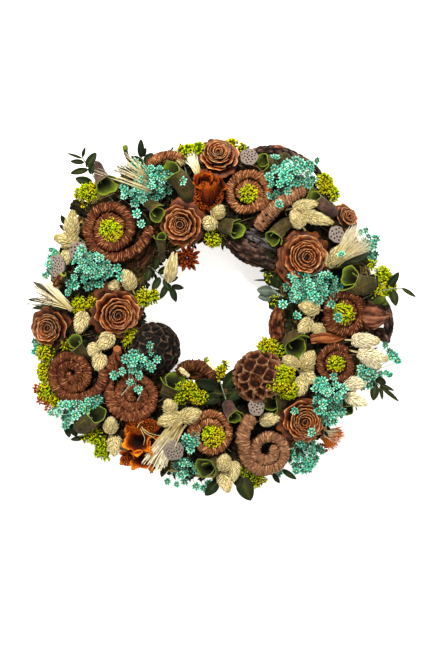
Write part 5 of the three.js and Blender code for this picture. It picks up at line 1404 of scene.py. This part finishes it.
# %%
# The open cups and the rust tuft at the lower left
PETALS = [
    # foot pixel and height, tip pixel and height, half width, bend, brightness of foot and tip, which is
    # painted shade: the inner petals are darker
    [130, 455, 33, 126, 434, 47, 3.0, -0.1, 0.3, 0.9], [151, 454, 34, 159, 438, 47, 3.0, 0.1, 0.3, 0.9],
    [139, 450, 30, 139, 432, 43, 1.4, 0.0, 0.1, 0.4], [144, 450, 30, 146, 431, 43, 1.6, 0.0, 0.1, 0.5],
    [134, 449, 30, 133, 433, 43, 1.4, 0.0, 0.1, 0.4], [143, 449, 38, 151, 468, 36, 3.8, 0.3, 0.4, 1.0],
]
CUPS = [
    # pixel and height, tilt, radius, height of the wall, lobes, slot, seed
    [138, 442, 40, [0, 0.1], 13.5, 13, 5, 0, 1], [141, 456, 36, [0.05, -0.45], 11, 14, 4, 0, 2],
    [152, 444, 40, [0.4, 0], 8.5, 12, 3, 0, 3], [129, 456, 33, [-0.4, -0.4], 8, 11, 4, 1, 5],
]
CUP_PLACE = (141, 448)  # the middle of the group of cups
heap = Heap()
for x0, y0, z0, x1, y1, z1, half, bend, low, high in PETALS:
    a, b = px(x0, y0, z0), px(x1, y1, z1)
    face = [0.1 * math.sin(x0), 0.1 * math.cos(x0), 1]
    blades(heap, a, b - a, face, 1.25 * np.linalg.norm(b - a), half, 0.5, bend, 7, 0.55,
           (0.37 * x1) % 1, 0, (low, high))
for x, y, z, tilt, *rest in CUPS:
    calyx(heap, frame_over(x, y, z, tilt), *rest)
crumbs(heap, 143, 426, 46, 17, 8, 8, 460, 2.2, 1)
crumbs(heap, 127, 460, 34, 6, 6, 5, 90, 2.4, 1, (-0.5, -0.5))
piece(heap, "orange_bottom_look", [ORANGE, RUST], ["orange_bottom"], "orange_bloom")
tell("orange")

# %% [markdown]
# ## Bark, pods and wood
# Under and between the flowers lie strips of bark, ridged pods and soft wood. Displacing a
# cylinder would do, but its modifier has no sense of direction. These are tubes
# again, flattened, whose long furrows come from noise that is stretched along the piece:
# 1 - 2 |noise - 0.5| is sharp where the noise crosses its middle.
# Bark is matt and painted almost black in its furrows, as shade; the pods are redder, and the
# wood is the only smooth and even brown in the wreath.

# %%
# Woody finishes, and one furrowed length
WOOD = dried("soft_wood", [(0, "#5a2c14"), (0.5, "#8a4a26"), (1, "#b57a48")],
             stretch=(1, 0.3, 1), grain=(0.9, 0.3))
BARK = dried("dark_bark", [(0, "#080402"), (0.5, "#3c2820"), (1, "#8a6858")],
             [(0, "#080504"), (0.5, "#342824"), (1, "#74605a")],
             patch=12, grain=(0.8, 0.4), bump=(0.5, 0.5))
GREY_BARK = dried("grey_bark", [(0, "#100c0d"), (0.5, "#3c3638"), (1, "#78706f")])
POD = dried("ridged_pod", [(0, "#2a140a"), (0.5, "#84503a"), (1, "#b88864")],
            grain=(0.9, 0.35), bump=(0.5, 0.35))
# Near black, the painted shade of the gaps between the pieces; two ramps give the crumbs their own green and
# brown tone.
SHADED_LITTER = dried("shaded_litter", [(0, "#050602"), (0.5, "#131a07"), (1, "#2c3214")],
               [(0, "#080502"), (0.5, "#1c1208"), (1, "#3c2812")], patch=9)
TWIG = dried("dry_twig", [(0, "#241a0c"), (0.5, "#5c4e32"), (1, "#a0926a")],
             grain=(0.8, 0.3), spread=(0.4, 1.4))


def rough(heap, x, y, z, wide, flat, seed, furrow, stretch, across, slot=0, ridges=0, rows=0.9):
    """A furrowed tube along pixels x, y at heights z, wide across and flattened by flat. Its
    radius is wide - furrow fibre^3 - half a furrow of finer noise - 0.9 of a wave with so
    many ridges. stretch and across are the noise's millimetres along and round the tube. It is
    painted darker in its furrows and between its ridges, as shade."""
    path = spline(px(x, y, z), rows)
    side, over = around(path[None], UP)
    s = np.linspace(0, 1, len(path))
    size = np.interp(s, np.linspace(0, 1, len(wide)), wide)
    a = np.linspace(0, 2 * np.pi, 36, endpoint=False)
    length = np.cumsum(np.concatenate([[0], np.linalg.norm(np.diff(path, axis=0), axis=1)]))
    mean = float(np.mean(size))
    grid = stack(length[:, None] / stretch, mean * np.cos(a) / across, mean * np.sin(a) / across)
    fibre = 1 - 2 * np.abs(noise(grid, 1.0, seed) - 0.5)
    fine = noise(grid * [6, 2.6, 2.6], 1.0, seed + 1)
    cross = 0.5 + 0.5 * np.sin(ridges * a)[None] if ridges else 0.0
    r = np.maximum(size[:, None] - furrow * fibre**3 - 0.5 * furrow * fine - 0.9 * cross, 0.4)
    points = path[:, None] + side[0][:, None] * (r * np.cos(a))[..., None]
    points = points + over[0][:, None] * (flat * r * np.sin(a))[..., None]
    # Painted shade: darker in the furrows and between the ridges.
    shade = np.clip(1.05 - 0.95 * fibre**3 - 0.55 * fine - 0.35 * cross, 0, 1)
    heap.grid(points, shade, 0.5, True, slot, path[:1], path[-1:])


# %%
# Bark at the inside and at the top
WOODY = {
    # pixels x and y, heights, widths, flatness, seed, furrow, stretch, across, slot
    "bark_inner_look": [
      [[230, 243, 254, 266, 276], [238, 248, 255, 260, 264], [36, 38, 39, 38, 36], [9, 12.5, 13, 12, 8],
       0.62, 3, 3.2, 11, 2.6],
      [[246, 256, 268, 278], [232, 236, 243, 252], [40, 42, 41, 38], [6, 8, 8, 5], 0.6, 13, 2.6, 7, 2.2, 1]],
    "bark_top_look": [
      [[247, 262, 280, 298, 314, 326], [153, 148.5, 149, 156, 166, 177], [26, 27, 27, 27, 27, 25],
       [4, 5.6, 6, 6, 5.4, 3], 0.9, 5, 2.0, 5, 2.4],
      [[268, 280, 290], [146.5, 145.6, 149.5], [27, 28, 27], [2.2, 3.4, 2], 0.8, 15, 0.8, 4, 2, 1],
      [[250, 262, 274, 288], [157, 154.5, 155, 160], [25, 26, 26, 26], [3, 5.6, 5.6, 4], 0.8, 16, 1.6, 6, 2]],
    "coil_bark_look": [
      [[92, 106, 122, 138, 150, 157], [262, 269, 270, 263, 250, 232], [37, 39, 40, 41, 41, 40],
       [4, 7.5, 8.5, 9, 8, 4], 0.6, 53, 3.0, 14, 1.6],
      [[120, 132, 143, 150], [258, 256, 247, 234], [41, 43, 43, 42], [3, 5.5, 5.5, 3], 0.6, 55, 2.6, 11, 1.4],
      [[118, 126, 139, 146], [238, 246, 241, 226], [39, 40, 40, 40], [6, 9, 9, 5], 0.5, 57, 2.4, 11, 1.6],
      [[182, 194, 208, 220], [375, 374, 379, 386], [38, 41, 41, 38], [5, 8, 7.5, 4], 0.6, 58, 2.0, 9, 1.6],
      [[190, 202, 214, 226], [370, 373, 377, 380], [42, 44, 44, 41], [2, 3.6, 4.2, 2.5],
       0.7, 59, 1.4, 9, 1.2],
      [[72, 79, 88, 98], [203, 207, 211, 214], [35, 38, 40, 41], [7, 8.6, 9, 7], 0.8, 60, 2.4, 9, 1.4, 1]],
}


def woody(name):
    """A heap with the furrowed lengths of one row of the table."""
    heap = Heap()
    for row in WOODY[name]:
        rough(heap, *row)
    return heap


piece(woody("bark_inner_look"), "bark_inner_look", [BARK, GREY_BARK], ["bark_inner"], "bark")
heap = woody("bark_top_look")
scrap = Heap()
scrap_path = px([148, 158, 170, 184], [167, 158.5, 155.5, 160], [45, 48, 49, 46])
ribbed(scrap, spline(scrap_path, 0.5), (0, 0, 1), 5.6, 2.0, 0.3, 16, 61)
piece(heap, "bark_top_look", [BARK, POD], ["bark_top"], "bark")
piece(scrap, "rind_scrap_look", [RIND])
tell("bark")

# %% [markdown]
# The group at the right is a ridged pod, two strips of bark and petals of soft wood. The cut
# stub stands upright at the left, so its flat end is a six-sided tube on top of a furrowed one.

# %%
# The pods, the wood and the cut stub
heap = Heap()
rough(heap, [365, 370, 376, 382, 387, 390], [315, 315.5, 316, 316, 315, 314], [46, 50, 51, 50, 48, 46],
      [8, 15.5, 15, 10.5, 5.5, 1.5], 0.6, 23, 0.8, 14, 3, 0, 17, 0.7)
rough(heap, [382, 387, 389, 386], [297, 312, 328, 343], [40, 43, 42, 38], [4, 6, 6.5, 3.5],
      0.8, 25, 2.2, 9, 2.4, 1)
rough(heap, [370, 378, 385, 389], [330, 333, 337, 343], [40, 41, 40, 37], [4, 6.5, 6.5, 3.5],
      0.7, 26, 2.2, 9, 2.4, 1)
feet = px([369, 372, 376], [310, 303, 299], [55, 56, 54])
blades(heap, feet, [[8, 9, 0.5], [9, 4, 0.5], [8, -4, 0]], [0, 0.2, 1], [9, 13, 12], [3.0, 3.6, 3.2], 0.5,
       -0.08, 5, 0.6, [0.2, 0.6, 0.4], 4, (0.25, 0.6))
rough(heap, [311, 322, 336, 346], [339, 337.5, 338, 335], [46, 48, 47.5, 45], [5.6, 7.2, 6, 3.4],
      0.85, 27, 2.0, 16, 2.4, 2)
rough(heap, [283, 278, 276, 277, 281], [304, 316, 327, 337, 347], [40, 42, 42, 42, 40],
      [3.5, 8.6, 8.8, 8.2, 4], 0.6, 29, 2.6, 7, 2.0, 3)
rough(heap, [118, 119, 123, 128], [350, 357, 368, 378], [55, 53, 50, 45], [4.6, 8.2, 10.5, 8],
      0.8, 31, 2.0, 6, 2, 3)
cut_end = [px(118, 352, 54), px(118, 348.4, 59.5)]
tubes(heap, cut_end, [4.6, 4.0], 6, 0.6, 0.5, 2, up=(0.3, 1, 0.2))
stains = [POD, BARK, WOOD, RIND_RED, LEAF_INSIDE]
piece(heap, "brown_right_look", stains, ["brown_right"], "bark", smooth=False)

# %% [markdown]
# Fibrous bark fills the gap beside the upper left coil, and a few rust crumbs lie at the
# edges. Neither has a solid of its own, so they only ride on the wreath.

# %%
# Fibrous bark and rust scraps
# The last strip of this bark takes the litter's near-black finish, painted shade.
piece(woody("coil_bark_look"), "coil_bark_look", [RIND_DARK, SHADED_LITTER])
SCRAPS = (
    # pixel and height, half width and half height, how many
    (41, 401, 27, 5, 4, 44), (36, 389, 28, 3, 4, 26), (48, 408, 28, 4, 4, 34), (324, 450, 26, 4, 4, 30))
heap = Heap()
for x, y, z, rx, ry, n in SCRAPS:
    crumbs(heap, x, y, z, rx, ry, 4, n, 3.8, 0)
piece(heap, "rust_scraps_look", [RUST])
tell("scrap")

# %% [markdown]
# The pale pod hangs into the hole of the wreath in five thin shells. Three small things share
# its node: a peg and a green tipped stem, which are plain tubes with a paler end, and a tan
# roll whose end is a ring of lime green round a hollow. The hollow is a short tube painted near
# black, the shade inside the roll.

# %%
# The pale pod, the peg, the stem and the small roll
SHELLS = ((168, 174, 0), (171, 177, 1), (166, 172, -1), (173, 176, -1.5), (165, 171, 0.5))
heap = Heap()
for k, (x0, x1, lift) in enumerate(SHELLS):
    height = np.array([46, 50, 53, 54]) + lift
    rough(heap, [x0, x0 + 1.5, (x0 + x1) / 2 + 1, x1], [283 - k, 274, 263, 252 + k], height,
          [1.2, 3.4, 3.0, 0.7], 0.7, 40 + k, 0.5, 9, 1.4)


def stick(x, y, z, r, sides, edge, tint, slot):
    """A smooth round stick along pixels x, y at heights z."""
    tubes(heap, spline(px(x, y, z), 0.8), r, sides, edge, tint, slot)


stick([133, 129, 126, 125], [170, 160, 153, 147], [42, 44, 44, 43], 2.3, 12, 0.3, 0.6, 1)
stick([125.6, 125.2, 124.9], [150, 147.5, 145.5], [44, 44, 43.8], 2.7, 10, 0.75, 0.6, 2)
rough(heap, [55.5, 58, 61.5, 64.5], [286, 281.5, 277.5, 274], [51, 54, 56.5, 58], [2.6, 3.4, 3.8, 3.4],
      0.9, 52, 0.4, 4, 1.6, 3)
lime_ring = [px(64, 274.6, 57.6), px(64.9, 273.6, 58.8)]
# The hollow of the roll is a near-black tube, painted shade.
hollow_shade_tube = [px(64.6, 273.9, 58.4), px(65.1, 273.4, 59.1)]
tubes(heap, lime_ring, [3.5, 3.3], 12, 0.95, 0.8, 2, up=(0, 0, 1))
tubes(heap, hollow_shade_tube, [2.0, 1.9], 10, 0.1, 0.5, 2, up=(0, 0, 1))
stick([216, 211, 208, 206.5], [374, 367, 362, 358.5], [47, 49, 50, 51], 2.5, 10, 0.7, 0.9, 0)
stick([207.5, 206, 205.4], [361, 358.6, 357.6], [50.4, 51, 51.2], 2.6, 10, 0.8, 0.9, 2)
rough(heap, [180, 184, 189], [368, 372, 376], [52, 54, 52], [2.4, 3.4, 2.2], 0.8, 51, 0.9, 4, 1.6)
piece(heap, "bleached_pod_look", [STRAW, LEAF, LEAF_INSIDE, RIND, TWIG], ["bleached_pod"], "grass_cream")
tell("pod")

# %% [markdown]
# ## Lime moss
# Reindeer moss is a cushion of fine branching fingers. A noisy lump with a good texture would
# look like sponge at its edge, where the fingers show against the floor. So every clump is a
# crowd of short fingers on the upper side of an egg, and each finger carries two smaller
# ones. They are over a millimetre thick, coarser than the real ones, so that they show.
# Moss is the brightest finish here: no shine at all. Each finger is painted olive at its foot,
# as shade, and paler lime towards its tip, partly painted light.

# %%
# The places of the moss
MOSS = dried("lime_moss", [(0, "#465a00"), (0.35, "#7c9606"), (0.75, "#aabe04"), (1, "#d2de18")],
             [(0, "#5c5200"), (0.35, "#989000"), (0.75, "#c4b804"), (1, "#e6dc28")],
             patch=14, grain=(0.9, 0.2), bump=(0.5, 0.2), shine=0.03)
CLUMPS = [
    # centre, half width and half height, height of the middle, half depth
    [89, 193, 12, 10, 40, 12], [80, 194, 6, 7, 38, 9], [98, 189, 6, 7, 42, 10], [84, 206, 4, 4, 41, 5],
    [187, 152, 11, 8, 40, 9], [198, 149, 9, 7, 40, 9], [176, 155, 5, 4, 38, 6], [232, 143, 7, 6, 31, 8],
    [242, 148, 6, 6, 32, 8], [213, 238, 9, 10, 38, 10], [324, 182, 9, 10, 37, 11], [333, 194, 7, 9, 36, 10],
    [327, 189, 8, 8, 36, 9], [142, 298, 10, 10, 39, 11], [152, 296, 6, 8, 37, 9], [80, 305, 9, 10, 41, 12],
    [92, 302, 8, 8, 40, 11], [132, 339, 12, 12, 40, 12], [143, 334, 6, 7, 38, 9], [46, 352, 12, 11, 32, 12],
    [45, 371, 10, 13, 28, 11], [46, 392, 12, 12, 26, 11], [57, 401, 10, 7, 28, 10], [67, 345, 5, 5, 42, 9],
    [383, 276, 10, 11, 37, 9], [389, 288, 9, 10, 34, 9], [377, 292, 10, 11, 36, 9], [371, 265, 5, 5, 40, 8],
    [268, 347, 11, 10, 44, 11], [279, 352, 8, 8, 42, 10], [281, 374, 14, 11, 55, 13],
    [274, 384, 13, 7, 62, 8], [288, 388, 13, 12, 50, 13], [186, 389, 12, 9, 42, 11],
    [200, 398, 11, 8, 42, 11], [180, 399, 8, 8, 40, 11],
    [221, 374, 6, 8, 42, 10], [225, 366, 4, 6, 40, 8], [248, 477, 9, 9, 29, 11], [256, 480, 11, 8, 27, 11],
    [243, 470, 5, 8, 34, 11], [95, 436, 10, 8, 34, 11], [103, 444, 9, 9, 32, 11], [100, 452, 7, 7, 30, 9],
    [106, 456, 4, 5, 30, 8], [87, 437, 5, 5, 36, 8], [269, 276, 4, 4, 38, 6], [275, 300, 5, 8, 34, 8],
]
SHRINK = 1.5  # the fingers reach this far past the egg they stand on
EYE_SHIFTS = ((1, 3), (0, 0), (0, 0), (0, 0), (4, 4))  # moss in a coil, in pixels right and down
SPACING = 3.0  # millimetres between fingers

# %%
# One clump, and all of them


def moss(heap, place, rx, ry, rz, seed):
    """Fingers start on an egg and point out of it. Their number is the egg's area over the
    square of the spacing. A finger's middle is base + way long t + bend t^2."""
    draw = np.random.default_rng(seed)
    n = int(2.2 * np.pi * rx * ry / SPACING**2 * 1.9)
    a = np.arange(n) * GOLDEN + seed
    h = (np.arange(n) + 0.5) / n * 1.15
    flat = np.sqrt(np.clip(1 - (1 - h) ** 2, 0, 1))
    out = np.stack([flat * np.cos(a), flat * np.sin(a), 1 - h], 1)
    lumps = 0.86 + 0.3 * noise(out * 3 + seed, 0.8, seed)
    base = out * [rx, ry, rz] * (lumps * 0.8)[:, None]
    way = unit(unit(out / [rx, ry, rz]) + draw.normal(0, 0.38, (n, 3)))
    long = draw.uniform(1.8, 4.0, n)[:, None]
    t = np.array([0.0, 0.6, 1.0])[None, :, None]
    bend = draw.normal(0, 0.7, (n, 1, 3))
    path = base[:, None] + way[:, None] * long[:, None] * t + bend * t**2
    radii = np.array([0.95, 0.9, 0.5])[None] * draw.uniform(0.75, 1.15, (n, 1))
    tint = draw.uniform(0, 1, n)
    # Painted shade: olive at each finger's foot and paler up to its tip; the core under the fingers is the
    # darkest.
    tubes(heap, put(path, place), radii, 3, np.array([0.0, 0.4, 0.85])[None], tint)
    v = np.linspace(0.1, 0.9, 6)[:, None] * np.pi
    a = np.linspace(0, 2 * np.pi, 12, endpoint=False)[None]
    core = 0.76 * stack(np.sin(v) * np.cos(a) * rx, np.sin(v) * np.sin(a) * ry, np.cos(v) * rz)
    top, bottom = put([[0, 0, 0.76 * rz]], place), put([[0, 0, -0.76 * rz]], place)
    heap.grid(put(core, place), 0.05, 0.4, True, 0, top, bottom)
    t = np.array([0.0, 1.0])[None, :, None]
    for _ in range(2):
        go = unit(way + draw.normal(0, 0.8, (n, 3)))
        twig = path[:, 1][:, None] + go[:, None] * (draw.uniform(1.2, 2.4, (n, 1, 1))) * t
        tubes(heap, put(twig, place), np.array([0.65, 0.5])[None], 3, np.array([0.45, 1.0])[None], tint)


for half, name in enumerate(("ring_moss_look", "ring_moss_more_look")):
    heap = Heap()
    for k, (x, y, rx, ry, z, rz) in enumerate(CLUMPS):
        if k % 2 == half:
            moss(heap, frame_over(x, y, z), rx - SHRINK, ry - SHRINK, rz, k)
    piece(heap, name, [MOSS])
heap = Heap()
for k, ((x, y, z, r, place), (right, low)) in enumerate(zip(EYES, EYE_SHIFTS)):
    moss(heap, (px(x + right, y + low, z - 2), place[1]), r, r, 6, 70 + k)
piece(heap, "coil_eye_moss_look", [MOSS])
tell("moss")

# %% [markdown]
# ## The straw ring
# The ring is pressed straw, wrapped with thread. A torus would be the wrong section, because
# the real one is flat below and full at the sides. So a section of fourteen points is
# carried round the ring, and 1400 thin strands drift slowly across it as they follow it.
# Straw is warm and dull. Its top is nearly black here: no light reaches it between the
# flowers, and a pale strand there would shine through every gap.

# %%
# The ring's section and its strands
RING_STRAW = dried("ring_straw", [(0, "#120d06"), (0.2, "#4e3a1c"), (0.5, "#8a6e3c"), (1, "#c8ac70")],
                   grain=(1.0, 0.5), bump=(1.0, 1.2), stretch=(0.12, 0.12, 1.4), spread=(0.55, 1.25))
SECTION = np.array([
    # across as a share of the half width, up as a share of the height
    [0.8, 0.004], [0.94, 0.12], [1, 0.4], [0.95, 0.66], [0.84, 0.82], [0.6, 0.93], [0.3, 0.97],
    [-0.3, 0.97], [-0.6, 0.93], [-0.84, 0.82], [-0.95, 0.66], [-1, 0.4], [-0.94, 0.12], [-0.8, 0.004]])
DARK_FROM = 0.88  # over this share of the height the straw is dark
STRANDS = 1400
STRAND_R = 0.75


def round_ring(angle, reach, z):
    """Points at angles round the ring's middle, at a reach from it."""
    return stack(RING[0] + reach * np.cos(angle), RING[1] + reach * np.sin(angle), z)


heap = Heap()
a = np.linspace(0, 2 * np.pi, 200, endpoint=False)[:, None]
body = round_ring(a, RING_R + (RING_HALF - 1.5) * SECTION[None, :, 0], RING_TOP * SECTION[None, :, 1])
body = np.concatenate([body, body[:1]])
shade = np.where(SECTION[:, 1] > DARK_FROM, 0.0, 0.42)
heap.grid(body, np.broadcast_to(shade, body.shape[:-1]), 0.3, True)
turn = rng.uniform(0, 2 * np.pi, STRANDS)[:, None]
sweep = rng.uniform(0.12, 0.3, STRANDS)[:, None]
k = rng.uniform(0, len(SECTION) - 1, STRANDS)[:, None]
s = np.linspace(0, 1, 6)[None]
drift = np.clip(k + rng.uniform(-1.4, 1.4, STRANDS)[:, None] * s, 0, len(SECTION) - 1)
across, up = (np.interp(drift.ravel(), np.arange(len(SECTION)), v).reshape(drift.shape) for v in SECTION.T)
reach = RING_R + (RING_HALF - 0.9) * across
path = round_ring(turn + sweep * s, reach, np.maximum(RING_TOP * up, STRAND_R))
shade = np.where(up > DARK_FROM, 0.06, 0.8)
tubes(heap, path, STRAND_R, 3, shade, rng.uniform(0, 1, STRANDS), up=(0.3, 0.1, 1))
piece(heap, "straw_ring_look", [RING_STRAW], ["straw_ring"], "straw")
tell("straw")

# %% [markdown]
# ## Litter painted near black as shade, and dry twigs
# Crumbs of leaves and thin twigs fill the gaps between the pieces. The crumbs are painted
# near black, the shade of the gaps, which keeps them deep, as in the picture. They are strewn at
# random on the upper side of the ring. None may lie in the open cups or show through a rose, so
# those places are cleared.

# %%
# The litter and the twigs
CRUMBS, TWIGS = 2700, 330
CUP_CLEAR, CUP_TWIG_CLEAR = 17, 25

turn = rng.uniform(0, 2 * np.pi, CRUMBS)
across = rng.uniform(-1.05, 0.97, CRUMBS)
z = 38 + 6.5 * (1 - across**4) + rng.uniform(-3, 2.2, CRUMBS) - 14 * np.maximum(np.abs(across) - 0.86, 0)
base = round_ring(turn, RING_R + RING_HALF * across, z)
outwards = stack(np.cos(turn), np.sin(turn), 0.0) * across[:, None]
way = rng.normal(0, 1, (CRUMBS, 3)) * [1, 1, 0.35] + outwards
kept = np.hypot(*(base - px(*CUP_PLACE))[:, :2].T) >= CUP_CLEAR
base, way, n = base[kept], way[kept], int(kept.sum())
heap = Heap()
blades(heap, base, way, [0, 0, 1], rng.uniform(4, 10, n), rng.uniform(1.0, 2.4, n), 0.3, 0.1, 2, 0.7,
       rng.uniform(0, 1, n), 0, (0, 0.9))

off_x = rng.uniform(-40, 40, TWIGS)
a = rng.uniform(0, 2 * np.pi, TWIGS)
off_y = rng.uniform(-40, 40, TWIGS)
x, y = RING[0] + (RING_R + off_x) * np.cos(a), RING[1] + (RING_R + off_y) * np.sin(a)
start = np.stack([x, y, rng.uniform(41, 46, TWIGS)], 1)
t = np.linspace(0, 1, 4)[None, :, None]
way = unit(rng.normal(0, 1, (TWIGS, 3)) * [1, 1, 0.2])[:, None]
twigs = start[:, None] + way * rng.uniform(8, 20, (TWIGS, 1, 1)) * t
twigs[..., 2] += 8 * (t * (1 - t))[..., 0]
KEEP_CLEAR = [[x, y, r] for _, x, y, _, r, _, _ in ROSES] + [[*CUP_PLACE, CUP_TWIG_CLEAR]]
gaps = [np.hypot(*(twigs[:, 0] - px(x, y))[:, :2].T) - r for x, y, r in KEEP_CLEAR]
twigs = twigs[np.min(gaps, axis=0) > 0]
tubes(heap, twigs, 0.28, 3, 0.6, rng.uniform(0, 1, len(twigs)), 1)
piece(heap, "litter_look", [SHADED_LITTER, TWIG], smooth=False)
print("crumbs", n, "twigs", len(twigs), "triangles in all", sum(TRIANGLES.values()))

# %% [markdown]
# ## Floor, light and camera
# The wreath lies on its back on a white floor, and the camera looks straight down. The picture
# is almost shadowless. A ring of lamps could do that, but a bright even sky is simpler, and
# one large soft lamp from the top of the picture gives the pieces their form. The floor glows
# a little, so that it stays white under the wreath's soft shadow.

# %%
# The floor and the sky
floor_mesh = bpy.data.meshes.new("floor")
floor_mesh.from_pydata([(-4, -4, 0), (4, -4, 0), (4, 4, 0), (-4, 4, 0)], [], [(0, 1, 2, 3)])
floor = bpy.data.objects.new("floor", floor_mesh)
bpy.context.scene.collection.objects.link(floor)
white = bpy.data.materials.new("white_floor")
white.use_nodes = True
shader = white.node_tree.nodes["Principled BSDF"]
FLOOR = {"Base Color": (0.9, 0.9, 0.9, 1), "Roughness": 0.9, "Emission Color": (1, 1, 1, 1),
         "Emission Strength": 0.6}
for key, value in FLOOR.items():
    shader.inputs[key].default_value = value
floor_mesh.materials.append(white)

world = bpy.data.worlds.new("studio")
world.use_nodes = True
sky = world.node_tree.nodes["Background"]
sky.inputs["Color"].default_value = (1, 0.97, 0.9, 1)
sky.inputs["Strength"].default_value = 0.62
bpy.context.scene.world = world

# %%
# The lamps


def lamp(name, place, size, power):
    """A square soft lamp, in metres and watts, that faces the middle of the floor."""
    data = bpy.data.lights.new(name, "AREA")
    data.energy = power
    data.color = (1, 0.96, 0.89)
    data.size = size
    obj = bpy.data.objects.new(name, data)
    obj.location = place
    x, y, z = place
    obj.rotation_mode = "XYZ"
    obj.rotation_euler = (math.acos(z / math.hypot(x, y, z)), 0, math.atan2(x, -y))
    bpy.context.scene.collection.objects.link(obj)
    print("lamp", name, power, "W")


lamp("key", (-0.3, 0.95, 1.25), 0.4, 32)
lamp("fill", (0.9, -0.5, 1.3), 0.9, 7)
bpy.context.scene.view_settings.view_transform = "Standard"
bpy.context.scene.view_settings.look = "None"

# %% [markdown]
# The camera stands so high that 645 mm at the height AIM_Z fill the picture's 645 pixels, which
# makes one pixel one millimetre there. A long lens keeps the rim of the wreath from leaning.

# %%
# The camera
HEIGHT_PX = 645
AIM_Z = 0.045
LENS, SENSOR = 85, 36
camera = bpy.data.objects.new("camera", bpy.data.cameras.new("camera"))
bpy.context.scene.collection.objects.link(camera)
camera.data.lens = LENS
camera.data.sensor_width = SENSOR
camera.data.sensor_fit = "AUTO"
camera.data.clip_start = 0.05
camera.data.clip_end = 20
middle = px(215, 322.5) * 0.001
camera.location = (middle[0], middle[1], AIM_Z + 0.001 * HEIGHT_PX * LENS / SENSOR)
camera.rotation_euler = (0, 0, 0)
bpy.context.scene.camera = camera
print("camera", round(camera.location.z, 3), "m high")
